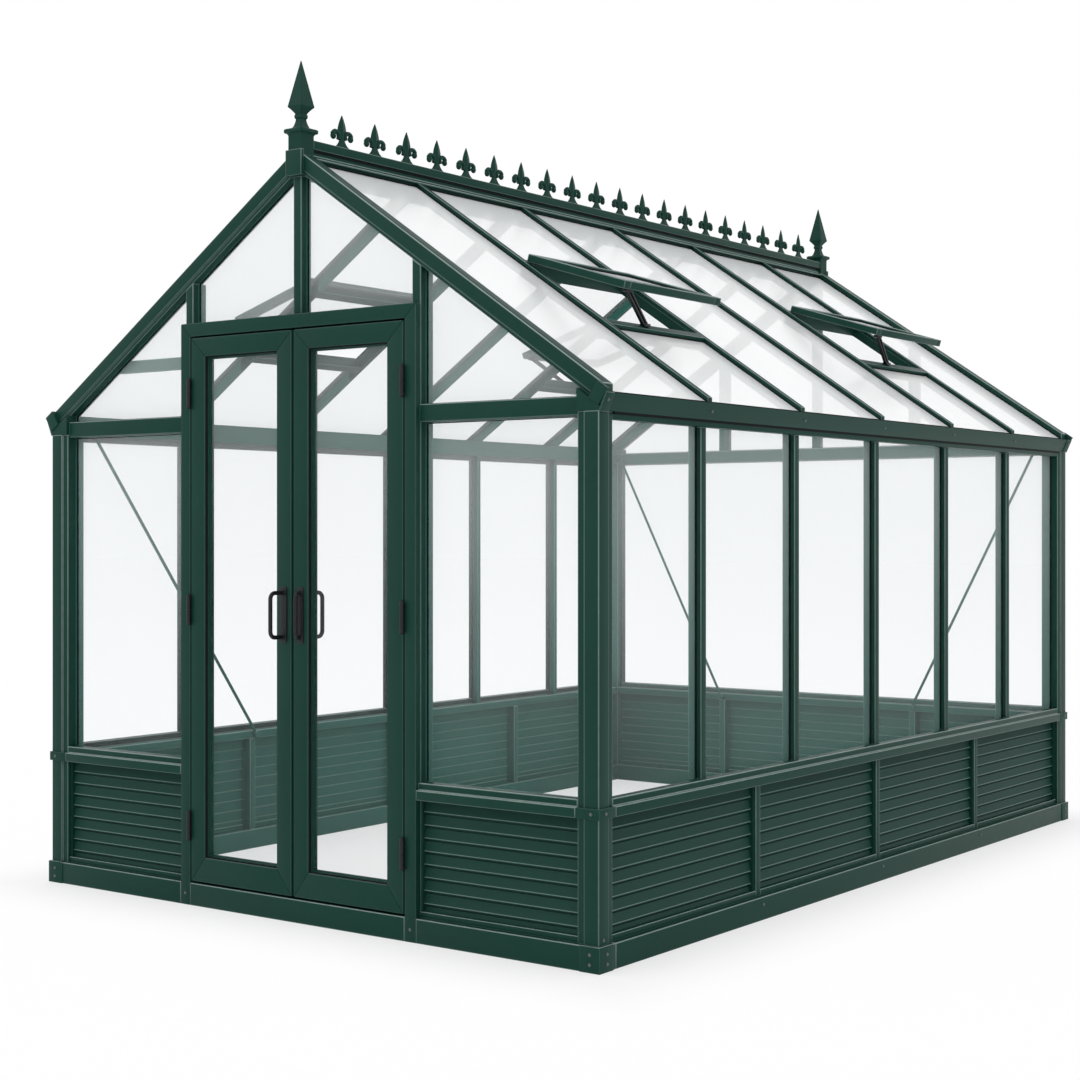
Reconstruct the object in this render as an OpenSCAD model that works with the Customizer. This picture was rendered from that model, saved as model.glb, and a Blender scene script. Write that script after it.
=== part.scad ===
// Aluminium greenhouse with a glazed double door, a crested ridge and four
// roof vents that stand open. Millimetres, +Z up, door in the -Y end.

/* [Building] */
// Width over the corner posts
width = 2440; // [2200:10:3000]
// Length of one glazing bay along the sides
bay = 610; // [560:5:700]
// Number of bays along each side
bays = 6; // [5:1:8]
// Height of the underside of the eaves beams
eaves_z = 1638; // [1560:1:1760]
// Pitch of both roof slopes in degrees
pitch = 34; // [30:0.5:38]

/* [Base] */
// Height of the base rails
base_h = 77; // [50:1:110]
// How far base, dado and door frame stand out from the corner posts
face_proud = 6; // [4:0.5:10]
// Thickness of the corner plates on the base
bracket_t = 3; // [2:0.5:5]
// Length of each leg of those plates
bracket_leg = 70; // [50:1:100]

/* [Wall frame] */
// Section of the corner posts and depth of the wall frame
post = 80; // [72:1:96]
// Width of the flat outer face of a corner post
post_face = 54; // [46:1:64]
// Width of the glazing lip along a rail
lip_w = 22; // [14:1:30]
// How far the glazing lips are set back from the post face
lip_setback = 6; // [3:0.5:9]
// How far the glass of the sides is set back from the post face
side_glass = 40; // [34:0.5:46]
// How far the glass of the ends is set back from the post face
end_glass = 52; // [46:0.5:58]
// Thickness of the glass
glass_t = 4; // [3:0.5:8]
// Width of the outer cap of a mullion
cap_w = 32; // [26:1:50]
// Width of the web of a glazing bar, between two panes
web_w = 20; // [12:1:24]
// How far the mullion caps are set back from the post face
cap_setback = 18; // [12:0.5:26]
// How far the mullion webs reach in from the post face
web_in = 70; // [60:1:72]

/* [Dado and kick panels] */
// Height of the underside of the dado rail
dado_z = 446; // [350:1:560]
// Height of the dado rail
dado_h = 32; // [24:1:50]
// Number of boards in a kick panel
boards = 9; // [6:1:12]
// Height of the bead between two boards
bead_h = 8; // [5:0.5:12]
// How far the beads stand out from the boards
bead_out = 4; // [2:0.5:6]
// How far the boards are set back from the post face
panel_setback = 34; // [26:1:44]
// Thickness of a kick panel
panel_t = 10; // [6:0.5:14]
// Kick panels along each side
side_panels = 4; // [2:1:6]
// Width of the bars between kick panels
divider_w = 30; // [20:1:45]
// How far those bars are set back from the post face
divider_setback = 14; // [6:1:22]

/* [Eaves] */
// Height of the gutter face
gutter_h = 52; // [40:1:70]
// How far the gutter's lower edge stands out from the posts
gutter_foot = 2; // [0:1:8]
// How far the gutter's upper edge stands out from the posts
gutter_out = 25; // [18:1:40]
// How far the roof reaches out over the posts into the gutter
roof_reach = 6; // [3:0.5:10]
// Length of the gutter's end blocks along the rafters
end_block = 43; // [30:1:60]
// How far the end blocks stand out from the gable ends
end_block_out = 4; // [2:0.5:8]
// Height of the tie rails across the gable ends
tie_h = 56; // [40:1:66]
// How far the tie rails start below the eaves beams
tie_drop = 11; // [4:1:24]
// How far rafters and tie rails are set back from the post face
tie_setback = 12; // [9:0.5:15]

/* [Roof] */
// Depth of the roof bars below the glass
roof_web_d = 30; // [24:1:45]
// Height of the roof bar caps above the glass
roof_cap_t = 16; // [12:1:24]
// Width of the roof bar caps
roof_cap_w = 26; // [24:1:40]
// Height of the gable rafters above the roof glass
rafter_rise = 24; // [16:1:32]
// Height of the set-back strip along a rafter's lower edge
rafter_lip = 13; // [8:1:20]
// Width of the ridge beam
ridge_w = 40; // [30:1:46]
// Depth of the ridge beam below the roof bars
ridge_drop = 12; // [4:1:30]
// Width of the capping along the ridge
ridge_cap_w = 56; // [48:1:70]
// Height of the face of the ridge capping
ridge_cap_h = 30; // [20:1:44]
// Height of the recess below the ridge capping
ridge_recess = 20; // [10:1:28]
// Reach of the flashing lip that covers the upper ends of the roof bars
ridge_lip = 16; // [8:1:30]
// Thickness of that flashing lip
ridge_lip_t = 5; // [3:0.5:8]

/* [Vents] */
// Distance down the slope from the ridge beam to the vent openings
vent_from_ridge = 583; // [450:1:680]
// Length of a vent opening down the slope
vent_len = 364; // [280:1:420]
// Width of the cross bars above and below a vent opening
vent_bar = 34; // [24:1:44]
// Angle at which the vents stand open
vent_angle = 17; // [8:0.5:28]
// Width of the vent sash bars
sash_w = 36; // [26:1:44]
// Thickness of the vent sash bars
sash_t = 28; // [20:1:36]
// Gap between a vent sash and the line between two bays
sash_gap = 3; // [1:0.5:5]
// Width of the vent stay arms
stay_w = 16; // [10:1:22]
// Place of a stay arm along its vent, as a share of the vent's width
stay_at = 0.24; // [0.15:0.01:0.85]

/* [Ornament] */
// Number of crest spikes along the ridge
spikes = 20; // [10:1:24]
// Height of a crest spike
spike_h = 116; // [90:1:140]
// Thickness of a crest spike
spike_t = 14; // [8:0.5:18]
// Section of the square finial shafts
shaft_w = 61; // [56:1:70]
// How far the finial shafts are set back from the post face
shaft_setback = 5; // [2:0.5:8]
// Length of a finial shaft below its plate
shaft_h = 142; // [138:1:160]
// Width of the sleeve on the foot of a finial shaft
sleeve_w = 71; // [66:1:84]
// Height of that sleeve
sleeve_h = 86; // [60:1:110]
// Thickness of that sleeve in front of the rafters
sleeve_t = 14; // [8:0.5:16]
// Width of the finial plates
plate_w = 86; // [76:1:100]
// Thickness of the finial plates
plate_t = 14; // [8:0.5:18]
// Height of a finial plate above the ridge capping
plate_lift = 19; // [8:1:30]
// Height of the neck between a plate and its spire
neck_h = 76; // [60:1:100]
// Width of the square foot of a spire
spire_w = 64; // [54:1:74]
// Height of a spire
spire_h = 152; // [120:1:190]

/* [Door frame] */
// Width over the door frame
door_w = 1060; // [960:2:1160]
// Height of the top of the door frame
door_top = 2000; // [1920:1:2020]
// Width of the jambs and height of the head
jamb = 46; // [40:1:60]
// Width of the posts in the gables
gable_post = 35; // [28:1:38]
// How far the gable posts are set back from the post face
gable_setback = 18; // [16:0.5:24]
// Height of the transom behind the glass in the left half of the front gable
transom_z = 1852; // [1780:1:1880]
// Thickness of that transom
transom_h = 44; // [20:1:48]

/* [Door leaves] */
// Gap between a leaf and its jamb
side_gap = 6; // [5.5:0.5:8]
// Gap between the two leaves
meet_gap = 10; // [9:0.5:14]
// Gap above the leaves
top_gap = 6; // [5:0.5:10]
// Gap below the leaves
bottom_gap = 8; // [5:0.5:14]
// Thickness of the leaves
leaf_t = 40; // [34:1:46]
// How far a leaf's glass is set back from its outer face
leaf_glass_in = 26; // [18:1:28]
// Width of the stiles
stile = 66; // [50:1:90]
// Height of the top rails
top_rail = 65; // [50:1:90]
// Height of the bottom rails
bottom_rail = 85; // [60:1:120]
// Height of the handles' middle
handle_z = 1010; // [900:1:1200]
// Length of the handles
handle_h = 160; // [130:1:220]
// Width of the handle plates
handle_plate_w = 30; // [24:1:40]
// Thickness of the handle plates
handle_plate_t = 4; // [3:0.5:6]
// Section of the handle bars
handle_bar = 14; // [10:1:16]
// How far the full pull handles stand out from the leaves
pull_out = 70; // [60:1:90]
// How far the slim pull handles stand out from the leaves
slim_out = 32; // [30:1:40]

/* [Hinges] */
// Height of a hinge
hinge_h = 100; // [70:1:140]
// Distance from the leaf's end to the middle of the outer hinges
hinge_inset = 190; // [100:1:300]
// Depth of a hinge plate in the gap beside the leaf
hinge_plate_d = 24; // [16:1:30]
// Thickness of a hinge plate
hinge_plate_t = 2; // [1.5:0.25:2.25]
// Radius of the hinge knuckles
knuckle_r = 8; // [6:0.5:10]
// Radius of the hinge pins
pin_r = 3; // [2:0.25:3.5]
// Clearance around a hinge pin
pin_play = 0.1; // [0.05:0.05:0.15]
// Gap between the two knuckles of a hinge
knuckle_gap = 0.4; // [0.3:0.1:0.8]
// Gap between a knuckle and the face of the leaf
knuckle_lift = 1; // [0.5:0.25:2]

/* [Wind braces] */
// Radius of the brace rods
rod_r = 6; // [4:0.5:9]
// Radius of the discs that fasten the rods
disc_r = 15; // [12:1:15]
// Thickness of those discs
disc_t = 16; // [12:1:24]
// Distance of a brace's upper end from the inner side of the corner post
brace_top_in = 24; // [18:1:60]

/* [Hidden] */
$fn = 48;
GREEN = "#2d4b41";
BLACK = "#17191a";
PANE = [0.85, 0.92, 0.92, 0.35];

hw = width / 2;
length = bays * bay;
hl = length / 2;
shaft_mid = shaft_setback + shaft_w / 2;
shaft_back = shaft_setback + shaft_w;
front_reach = face_proud + pull_out;
back_reach = max(plate_w / 2 - shaft_mid, face_proud + bracket_t, end_block_out);
shift_y = (front_reach - back_reach) / 2;

dado_top = dado_z + dado_h;
tie_z = eaves_z - tie_drop;
tie_top = tie_z + tie_h;
inner_x = hw - post;
inner_y = hl - post;

// The roof's outer glass face meets the gutter's upper edge at roof_reach.
gutter_top = eaves_z + gutter_h;
roof_foot_x = hw + roof_reach;
ridge_x = ridge_w / 2;
bar_d = glass_t + roof_web_d;
function roof_z(x) = gutter_top + (roof_foot_x - x) * tan(pitch);
function roof_at(x, n) = roof_z(x) + n / cos(pitch);
function roof_under(x) = roof_at(x, -bar_d);
function under_x(z) = roof_foot_x - (z + bar_d / cos(pitch) - gutter_top) / tan(pitch);
slope_end = (hw + gutter_out - ridge_x) * cos(pitch) + (roof_z(ridge_x) - gutter_top) * sin(pitch);

ridge_lip_z = roof_at(ridge_x, roof_cap_t + ridge_lip_t);
ridge_cap_z = ridge_lip_z + ridge_recess;
ridge_top = ridge_cap_z + ridge_cap_h;
plate_z = ridge_top + plate_lift;
shaft_z = plate_z - shaft_h;

vent_bays = [1, bays - 2];
vent_end = vent_from_ridge + vent_len;
sash_start = vent_from_ridge - vent_bar / 2;
sash_len = vent_len + vent_bar * 1.5;
sash_side = bay / 2 - sash_gap;

door_x = door_w / 2;
opening_x = door_x - jamb;
gable_post_in = door_x - gable_post;
gable_post_x = door_x - gable_post / 2;
head_z = door_top - jamb;
leaf_edge = opening_x - side_gap;
leaf_w = leaf_edge - meet_gap / 2;
leaf_z0 = base_h + bottom_gap;
leaf_h = head_z - top_gap - leaf_z0;
leaf_back = leaf_t - face_proud;
hinge_x = opening_x - side_gap / 2;
hinge_d = -face_proud - knuckle_lift - knuckle_r;
hinge_z = [leaf_z0 + hinge_inset, leaf_z0 + leaf_h / 2, leaf_z0 + leaf_h - hinge_inset];
knuckle_h = (hinge_h - knuckle_gap) / 2;

// Walls are drawn flat: x runs along the wall, y is the depth inwards from the
// post face and z is the height. These modules stand a wall in its place.
module on_front() {
    translate([0, shift_y - hl, 0]) children();
}

module on_back() {
    translate([0, shift_y + hl, 0]) mirror([0, 1, 0]) children();
}

module on_right() {
    translate([hw, shift_y, 0]) rotate(90) children();
}

module on_left() {
    mirror([1, 0, 0]) on_right() children();
}

module both_sides() {
    on_left() children();
    on_right() children();
}

module both_ends() {
    on_front() children();
    on_back() children();
}

module both_halves() {
    children();
    mirror([1, 0, 0]) children();
}

// A piece at the front right corner, repeated at all four corners
module four_corners() {
    both_halves() {
        children();
        translate([0, 2 * shift_y, 0]) mirror([0, 1, 0]) children();
    }
}

// A block between two corners, given as x, depth and z ranges
module block(x, d, z) {
    translate([x[0], d[0], z[0]]) cube([x[1] - x[0], d[1] - d[0], z[1] - z[0]]);
}

// A flat outline in x and z, made solid over a range of depth
module slab(d) {
    translate([0, d[1], 0]) rotate([90, 0, 0]) linear_extrude(d[1] - d[0]) children();
}

// An outline in x and z, run along the building between two places
module along(y) {
    translate([0, shift_y, 0]) slab(y) children();
}

// A strip of the right roof slope, between two heights over the glass face
module roof_strip(x0, x1, n0, n1) {
    polygon([
        [x0, roof_at(x0, n0)], [x1, roof_at(x1, n0)],
        [x1, roof_at(x1, n1)], [x0, roof_at(x0, n1)]
    ]);
}

// Drawing on the slope: x runs down the slope from the ridge beam, y is the
// height over the glass face.
module on_slope() {
    translate([ridge_x, roof_z(ridge_x)]) rotate(-pitch) children();
}

// Drawing in the open vent sash: x runs from its hinge line to its free edge
module on_sash() {
    on_slope() translate([sash_start, roof_cap_t]) rotate(vent_angle) children();
}

function bay_line(k) = -hl + k * bay;

module base_end_rails() {
    d = [-face_proud, post];
    color(GREEN) {
        on_front() both_halves() block([door_x, hw + face_proud], d, [0, base_h]);
        on_back() block([-hw - face_proud, hw + face_proud], d, [0, base_h]);
    }
}

module base_side_rails() {
    color(GREEN) both_sides()
        block([-inner_y, inner_y], [-face_proud, post], [0, base_h]);
}

// Angle plate that wraps a corner, laid on faces that stand out by face
module angle_plate(face, leg, t, z) {
    d = [-face - t, -face];
    on_front() block([hw + face - leg, hw + face + t], d, z);
    on_right() mirror([1, 0, 0]) block([hl + face - leg, hl + face], d, z);
}

module corner_brackets() {
    color(GREEN) four_corners() {
        angle_plate(face_proud, bracket_leg, bracket_t, [0, base_h]);
        angle_plate(0, post, face_proud, [dado_z, dado_top]);
    }
}

// Sill between the jambs and the gable posts, in line with the base
module door_threshold() {
    color(GREEN) on_front() {
        block([-opening_x, opening_x], [-face_proud, gable_setback], [0, base_h]);
        block([-gable_post_in, gable_post_in], [gable_setback, post], [0, base_h]);
    }
}

// Corner post: two flat faces, each with a glazing lip set back beside it
module corner_post() {
    on_front() translate([hw, 0, base_h]) linear_extrude(eaves_z - base_h) polygon([
        [0, 0], [-post_face, 0], [-post_face, lip_setback], [-post, lip_setback],
        [-post, post], [-lip_setback, post], [-lip_setback, post_face], [0, post_face]
    ]);
}

module corner_posts() {
    color(GREEN) four_corners() corner_post();
}

// A dado rail with the glazing lip that covers the foot of the glass
module dado_rail(x, glass) {
    block(x, [-face_proud, post], [dado_z, dado_top]);
    block(x, [lip_setback, glass], [dado_top, dado_top + lip_w]);
}

module dado_rails() {
    color(GREEN) {
        on_front() both_halves() dado_rail([door_x, inner_x], end_glass);
        on_back() dado_rail([-inner_x, inner_x], end_glass);
        both_sides() dado_rail([-inner_y, inner_y], side_glass);
    }
}

// Boards with beads between base and dado rail, over a range along the wall
module kick_panel(x) {
    step = (dado_z - base_h) / boards;
    bead = panel_setback - bead_out;
    face = [for (k = [0 : boards - 1], p = [
        [panel_setback, step * k], [panel_setback, step * (k + 1) - bead_h],
        [bead, step * (k + 1) - bead_h], [bead, step * (k + 1)]
    ]) p];
    back = panel_setback + panel_t;
    translate([x[0], 0, base_h]) rotate([90, 0, 90]) linear_extrude(x[1] - x[0])
        polygon(concat(face, [[back, step * boards], [back, 0]]));
}

module divider(x) {
    block([x - divider_w / 2, x + divider_w / 2], [divider_setback, post], [base_h, dado_z]);
}

module end_kick_panels() {
    half_bar = divider_w / 2;
    color(GREEN) {
        on_front() both_halves() kick_panel([door_x, inner_x]);
        on_back() {
            both_halves() kick_panel([gable_post_x + half_bar, inner_x]);
            kick_panel([half_bar - gable_post_x, gable_post_x - half_bar]);
        }
    }
}

panel_step = (2 * inner_y + divider_w) / side_panels;
function panel_start(k) = -inner_y + k * panel_step;

module side_kick_panels() {
    color(GREEN) both_sides() for (k = [0 : side_panels - 1])
        kick_panel([panel_start(k), panel_start(k + 1) - divider_w]);
}

module kick_panel_dividers() {
    color(GREEN) {
        both_sides() for (k = [1 : side_panels - 1]) divider(panel_start(k) - divider_w / 2);
        on_back() both_halves() divider(gable_post_x);
    }
}

// Upright glazing bar: a cap outside the glass and a web between two panes
module mullion(x) {
    block([x - cap_w / 2, x + cap_w / 2], [cap_setback, side_glass],
        [dado_top + lip_w, eaves_z - lip_w]);
    block([x - web_w / 2, x + web_w / 2], [side_glass, web_in], [dado_top, eaves_z]);
}

module mullions() {
    for (k = [1 : bays - 1]) mullion(bay_line(k));
}

module left_mullions() {
    color(GREEN) on_left() mullions();
}

module right_mullions() {
    color(GREEN) on_right() mullions();
}

// Eaves beam: a sloping outer face, a seat for the roof bars, a glazing lip
// below it and a block over the rafter's foot at each end
module gutter() {
    along([-hl, hl]) polygon([
        [inner_x, eaves_z], [hw + gutter_foot, eaves_z], [hw + gutter_out, gutter_top],
        [roof_foot_x, gutter_top], [roof_foot_x, roof_under(roof_foot_x)],
        [inner_x, roof_under(inner_x)]
    ]);
    on_right() block([-inner_y, inner_y], [lip_setback, side_glass], [eaves_z - lip_w, eaves_z]);
    both_ends() slab([-end_block_out, tie_setback]) on_slope()
        translate([slope_end - end_block, -bar_d]) square([end_block, bar_d + rafter_rise]);
}

module gutters() {
    color(GREEN) both_halves() gutter();
}

// Rafter with a strip along its lower edge that is set back
module gable_rafters() {
    strip_top = rafter_lip - bar_d;
    color(GREEN) both_ends() both_halves() {
        slab([tie_setback, shaft_back])
            roof_strip(shaft_w / 2, roof_foot_x, strip_top, rafter_rise);
        slab([tie_setback + lip_setback, shaft_back])
            roof_strip(shaft_w / 2, roof_foot_x, -bar_d, strip_top);
    }
}

// Post beside the doorway or in the back gable, cut to the rafter above it
module gable_side_post(z) {
    slab([gable_setback, post]) polygon([
        [gable_post_in, z], [door_x, z],
        [door_x, roof_under(door_x)], [gable_post_in, roof_under(gable_post_in)]
    ]);
}

module king_post(z) {
    block([-gable_post / 2, gable_post / 2], [gable_setback, shaft_back], [z, shaft_z]);
}

module gable_posts() {
    color(GREEN) {
        on_front() {
            both_halves() gable_side_post(0);
            king_post(door_top);
        }
        on_back() {
            both_halves() gable_side_post(tie_top);
            king_post(tie_top);
        }
    }
}

// Rails across the gable ends at the eaves, and the one transom above them
module tie_rails() {
    color(GREEN) {
        on_front() {
            both_halves() block([door_x, inner_x], [tie_setback, post], [tie_z, tie_top]);
            mirror([1, 0, 0]) slab([end_glass + glass_t, post]) polygon([
                [door_x, transom_z], [under_x(transom_z), transom_z],
                [under_x(transom_z + transom_h), transom_z + transom_h],
                [door_x, transom_z + transom_h]
            ]);
        }
        on_back() block([-inner_x, inner_x], [tie_setback, post], [tie_z, tie_top]);
    }
}

// Half of the ridge beam's section, with its flashing lip and its capping
module ridge_half() {
    beam_z = roof_under(ridge_x) - ridge_drop;
    translate([0, beam_z]) square([ridge_x, ridge_top - beam_z]);
    roof_strip(ridge_x, ridge_x + ridge_lip, roof_cap_t, roof_cap_t + ridge_lip_t);
    translate([0, ridge_cap_z]) square([ridge_cap_w / 2, ridge_cap_h]);
}

module ridge_beam() {
    color(GREEN) both_halves() along([shaft_back - hl, hl - shaft_back]) ridge_half();
}

// One crest spike in outline: a flared foot, a pointed leaf and two petals
// that arch over and end in balls
module spike_outline() {
    u = spike_h / 100;
    polygon([
        [-36 * u, 0], [36 * u, 0], [22 * u, 9 * u], [15 * u, 20 * u], [12 * u, 40 * u],
        [-12 * u, 40 * u], [-15 * u, 20 * u], [-22 * u, 9 * u]
    ]);
    translate([0, 60 * u]) intersection_for(side = [-1, 1])
        translate([side * 26 * u, 0]) circle(47.7 * u);
    for (side = [-1, 1]) {
        translate([side * 27 * u, 36 * u]) intersection() {
            difference() {
                circle(20 * u);
                circle(8 * u);
            }
            translate([-20 * u, 0]) square([40 * u, 20 * u]);
        }
        translate([side * 37 * u, 36 * u]) circle(10 * u);
    }
}

module ridge_cresting() {
    run = length - 2 * shaft_back;
    color(GREEN) for (k = [0 : spikes - 1])
        translate([-spike_t / 2, shift_y - run / 2 + (k + 1) * run / (spikes + 1), ridge_top])
            rotate([90, 0, 90]) linear_extrude(spike_t) spike_outline();
}

// Outline of a finial: shaft over the rafter ends, plate, moulded neck, spire
module finial_outline() {
    neck_z = plate_z + plate_t;
    waist_z = neck_z + neck_h * 0.45;
    flare_z = neck_z + neck_h * 0.66;
    spire_z = neck_z + neck_h;
    half = [
        [shaft_w * 0.5, shaft_z], [shaft_w * 0.5, plate_z],
        [plate_w * 0.5, plate_z], [plate_w * 0.5, neck_z],
        [spire_w * 0.375, neck_z], [spire_w * 0.21, waist_z],
        [spire_w * 0.26, waist_z], [spire_w * 0.26, flare_z],
        [spire_w * 0.225, flare_z], [spire_w * 0.5, spire_z], [1, spire_z + spire_h]
    ];
    last = len(half) - 1;
    polygon(concat(half, [for (k = [0 : last]) [-half[last - k][0], half[last - k][1]]]));
}

// The same outline seen from two sides makes a finial of square section
module finial() {
    intersection() {
        slab([-plate_w, plate_w]) finial_outline();
        rotate(90) slab([-plate_w, plate_w]) finial_outline();
    }
}

module finials() {
    color(GREEN) both_ends() {
        translate([0, shaft_mid, 0]) finial();
        block([-sleeve_w / 2, sleeve_w / 2], [tie_setback - sleeve_t, tie_setback],
            [shaft_z, shaft_z + sleeve_h]);
    }
}

// Roof bar on one bay line: a web under the caps and a cap over the glass
module roof_bar(y) {
    along([y - web_w / 2, y + web_w / 2]) roof_strip(ridge_x, roof_foot_x, -bar_d, 0);
    along([y - roof_cap_w / 2, y + roof_cap_w / 2])
        roof_strip(ridge_x, roof_foot_x, 0, roof_cap_t);
}

module roof_bars() {
    for (k = [1 : bays - 1]) roof_bar(bay_line(k));
}

module left_roof_bars() {
    color(GREEN) mirror([1, 0, 0]) roof_bars();
}

module right_roof_bars() {
    color(GREEN) roof_bars();
}

function pane_start(k, end_w) = k == 0 ? end_w - hl : bay_line(k) + web_w / 2;
function pane_end(k, end_w) = k == bays - 1 ? hl - end_w : bay_line(k + 1) - web_w / 2;

module wall_panes() {
    for (k = [0 : bays - 1])
        block([pane_start(k, post), pane_end(k, post)], [side_glass, side_glass + glass_t],
            [dado_top, eaves_z]);
}

module left_wall_glass() {
    color(PANE) on_left() wall_panes();
}

module right_wall_glass() {
    color(PANE) on_right() wall_panes();
}

// A gable's glass from a level up to the rafter, between two upright lines
module gable_pane(x0, x1, z) {
    slab([end_glass, end_glass + glass_t]) polygon([
        [x0, z], [x1, z], [x1, roof_under(x1)], [x0, roof_under(x0)]
    ]);
}

// Glass between a king post and a gable post, under the finial's shaft too
module top_pane(z) {
    slab([end_glass, end_glass + glass_t]) polygon([
        [gable_post / 2, z], [gable_post_in, z], [gable_post_in, roof_under(gable_post_in)],
        [shaft_w / 2, roof_under(shaft_w / 2)], [gable_post / 2, roof_under(shaft_w / 2)]
    ]);
}

module front_glass() {
    color(PANE) on_front() both_halves() {
        block([door_x, inner_x], [end_glass, end_glass + glass_t], [dado_top, tie_z]);
        gable_pane(door_x, inner_x, tie_top);
        top_pane(door_top);
    }
}

module back_glass() {
    color(PANE) on_back() {
        block([-inner_x, inner_x], [end_glass, end_glass + glass_t], [dado_top, tie_z]);
        both_halves() {
            gable_pane(door_x, inner_x, tie_top);
            top_pane(tie_top);
        }
    }
}

function is_vent_bay(k) = k == vent_bays[0] || k == vent_bays[1];

// The glass of one bay of the slope, between two places along the slope
module roof_pane(k, s0, s1) {
    along([pane_start(k, shaft_back), pane_end(k, shaft_back)]) intersection() {
        roof_strip(ridge_x, roof_foot_x, -glass_t, 0);
        on_slope() translate([s0, -bay]) square([s1 - s0, 2 * bay]);
    }
}

// Whole panes, and in a vent bay one pane above and one below the opening
module roof_panes() {
    for (k = [0 : bays - 1]) {
        if (is_vent_bay(k)) {
            roof_pane(k, -bay, vent_from_ridge - vent_bar);
            roof_pane(k, vent_end + vent_bar, width);
        } else {
            roof_pane(k, -bay, width);
        }
    }
}

module left_roof_glass() {
    color(PANE) mirror([1, 0, 0]) roof_panes();
}

module right_roof_glass() {
    color(PANE) roof_panes();
}

module vent_cross_bar(k, s) {
    y0 = bay_line(k);
    along([y0 + web_w / 2, y0 + bay - web_w / 2]) on_slope()
        translate([s, -bar_d]) square([vent_bar, bar_d]);
    along([y0 + roof_cap_w / 2, y0 + bay - roof_cap_w / 2]) on_slope()
        translate([s, 0]) square([vent_bar, roof_cap_t]);
}

module vent_frame_bars() {
    color(GREEN) both_halves() for (k = vent_bays) {
        vent_cross_bar(k, vent_from_ridge - vent_bar);
        vent_cross_bar(k, vent_end);
    }
}

function vent_mid(k) = bay_line(k) + bay / 2;

module vent_sash_stiles() {
    color(GREEN) both_halves() for (k = vent_bays, side = [-1, 1]) {
        edge = vent_mid(k) + side * (sash_side - sash_w / 2);
        along([edge - sash_w / 2, edge + sash_w / 2]) on_sash() square([sash_len, sash_t]);
    }
}

module vent_sash_rails() {
    inner = sash_side - sash_w;
    color(GREEN) both_halves() for (k = vent_bays, s = [0, sash_len - sash_w])
        along([vent_mid(k) - inner, vent_mid(k) + inner]) on_sash()
            translate([s, 0]) square([sash_w, sash_t]);
}

module vent_glass() {
    inner = sash_side - sash_w;
    color(PANE) both_halves() for (k = vent_bays)
        along([vent_mid(k) - inner, vent_mid(k) + inner]) on_sash()
            translate([sash_w, (sash_t - glass_t) / 2])
                square([sash_len - 2 * sash_w, glass_t]);
}

// A point on the underside of the open sash, given from its hinge line
function sash_point(s) = [sash_start + s * cos(vent_angle), roof_cap_t + s * sin(vent_angle)];

function stay_y(k) = vent_mid(k) + (stay_at - 0.5) * 2 * sash_side;

// Arm from the lower cross bar to the underside of the sash's free rail
module vent_stays() {
    foot = vent_end + (vent_bar - stay_w) / 2;
    top = sash_len - (sash_w + stay_w) / 2;
    color(BLACK) both_halves() for (k = vent_bays)
        along([stay_y(k) - stay_w / 2, stay_y(k) + stay_w / 2]) on_slope()
            polygon([
                [foot, roof_cap_t], [foot + stay_w, roof_cap_t],
                sash_point(top + stay_w), sash_point(top)
            ]);
}

// Rod on the inner face of a wall between two discs, from eaves to dado
module brace(x_top, z_top, x_low) {
    z_low = dado_z + dado_h / 2;
    run = [x_low - x_top, z_low - z_top];
    translate([x_top, post + disc_t / 2, z_top]) rotate([0, atan2(run[0], run[1]), 0])
        cylinder(h = norm(run), r = rod_r);
    for (end = [[x_top, z_top], [x_low, z_low]])
        translate([end[0], post, end[1]]) rotate([-90, 0, 0]) cylinder(h = disc_t, r = disc_r);
}

module wind_braces() {
    color(GREEN) {
        on_left() brace(brace_top_in - inner_y, eaves_z + gutter_h / 2, panel_start(1));
        on_back() both_halves() brace(inner_x - brace_top_in, tie_z + tie_h / 2, gable_post_x);
    }
}

// Jambs and head are mitred where they meet
module door_jambs() {
    color(GREEN) on_front() both_halves() slab([-face_proud, gable_setback]) polygon([
        [opening_x, 0], [door_x, 0], [door_x, door_top], [opening_x, head_z]
    ]);
}

// Head of the door frame with the lintel behind it, between the gable posts
module door_head() {
    color(GREEN) on_front() {
        slab([-face_proud, gable_setback]) polygon([
            [-opening_x, head_z], [opening_x, head_z], [door_x, door_top], [-door_x, door_top]
        ]);
        block([-gable_post_in, gable_post_in], [gable_setback, post], [head_z, door_top]);
    }
}

// Half of a hinge: a plate in the gap beside the leaf and a knuckle in front
// of it, to = 1 on the jamb and -1 on the leaf, with its knuckle from z0
module hinge_half(to, z, z0) {
    outer = to * side_gap / 2;
    inner = to * (side_gap / 2 - hinge_plate_t);
    plate = [hinge_x + min(outer, inner), hinge_x + max(outer, inner)];
    block(plate, [-face_proud, hinge_plate_d - face_proud], [z - hinge_h / 2, z + hinge_h / 2]);
    block(plate, [hinge_d, -face_proud], [z0, z0 + knuckle_h]);
    translate([hinge_x, hinge_d, z0]) cylinder(h = knuckle_h, r = knuckle_r);
}

module door_hinge_pins() {
    color(BLACK) on_front() both_halves() for (z = hinge_z) {
        hinge_half(1, z, z - hinge_h / 2);
        translate([hinge_x, hinge_d, z - hinge_h / 2]) cylinder(h = hinge_h, r = pin_r);
    }
}

module leaf_hinges() {
    for (z = hinge_z) difference() {
        hinge_half(-1, z, z + knuckle_gap / 2);
        translate([hinge_x, hinge_d, z]) cylinder(h = hinge_h, r = pin_r + pin_play);
    }
}

// The right leaf is drawn; x and z start at its lower corner by the other leaf
module on_leaf() {
    translate([meet_gap / 2, 0, leaf_z0]) children();
}

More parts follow.
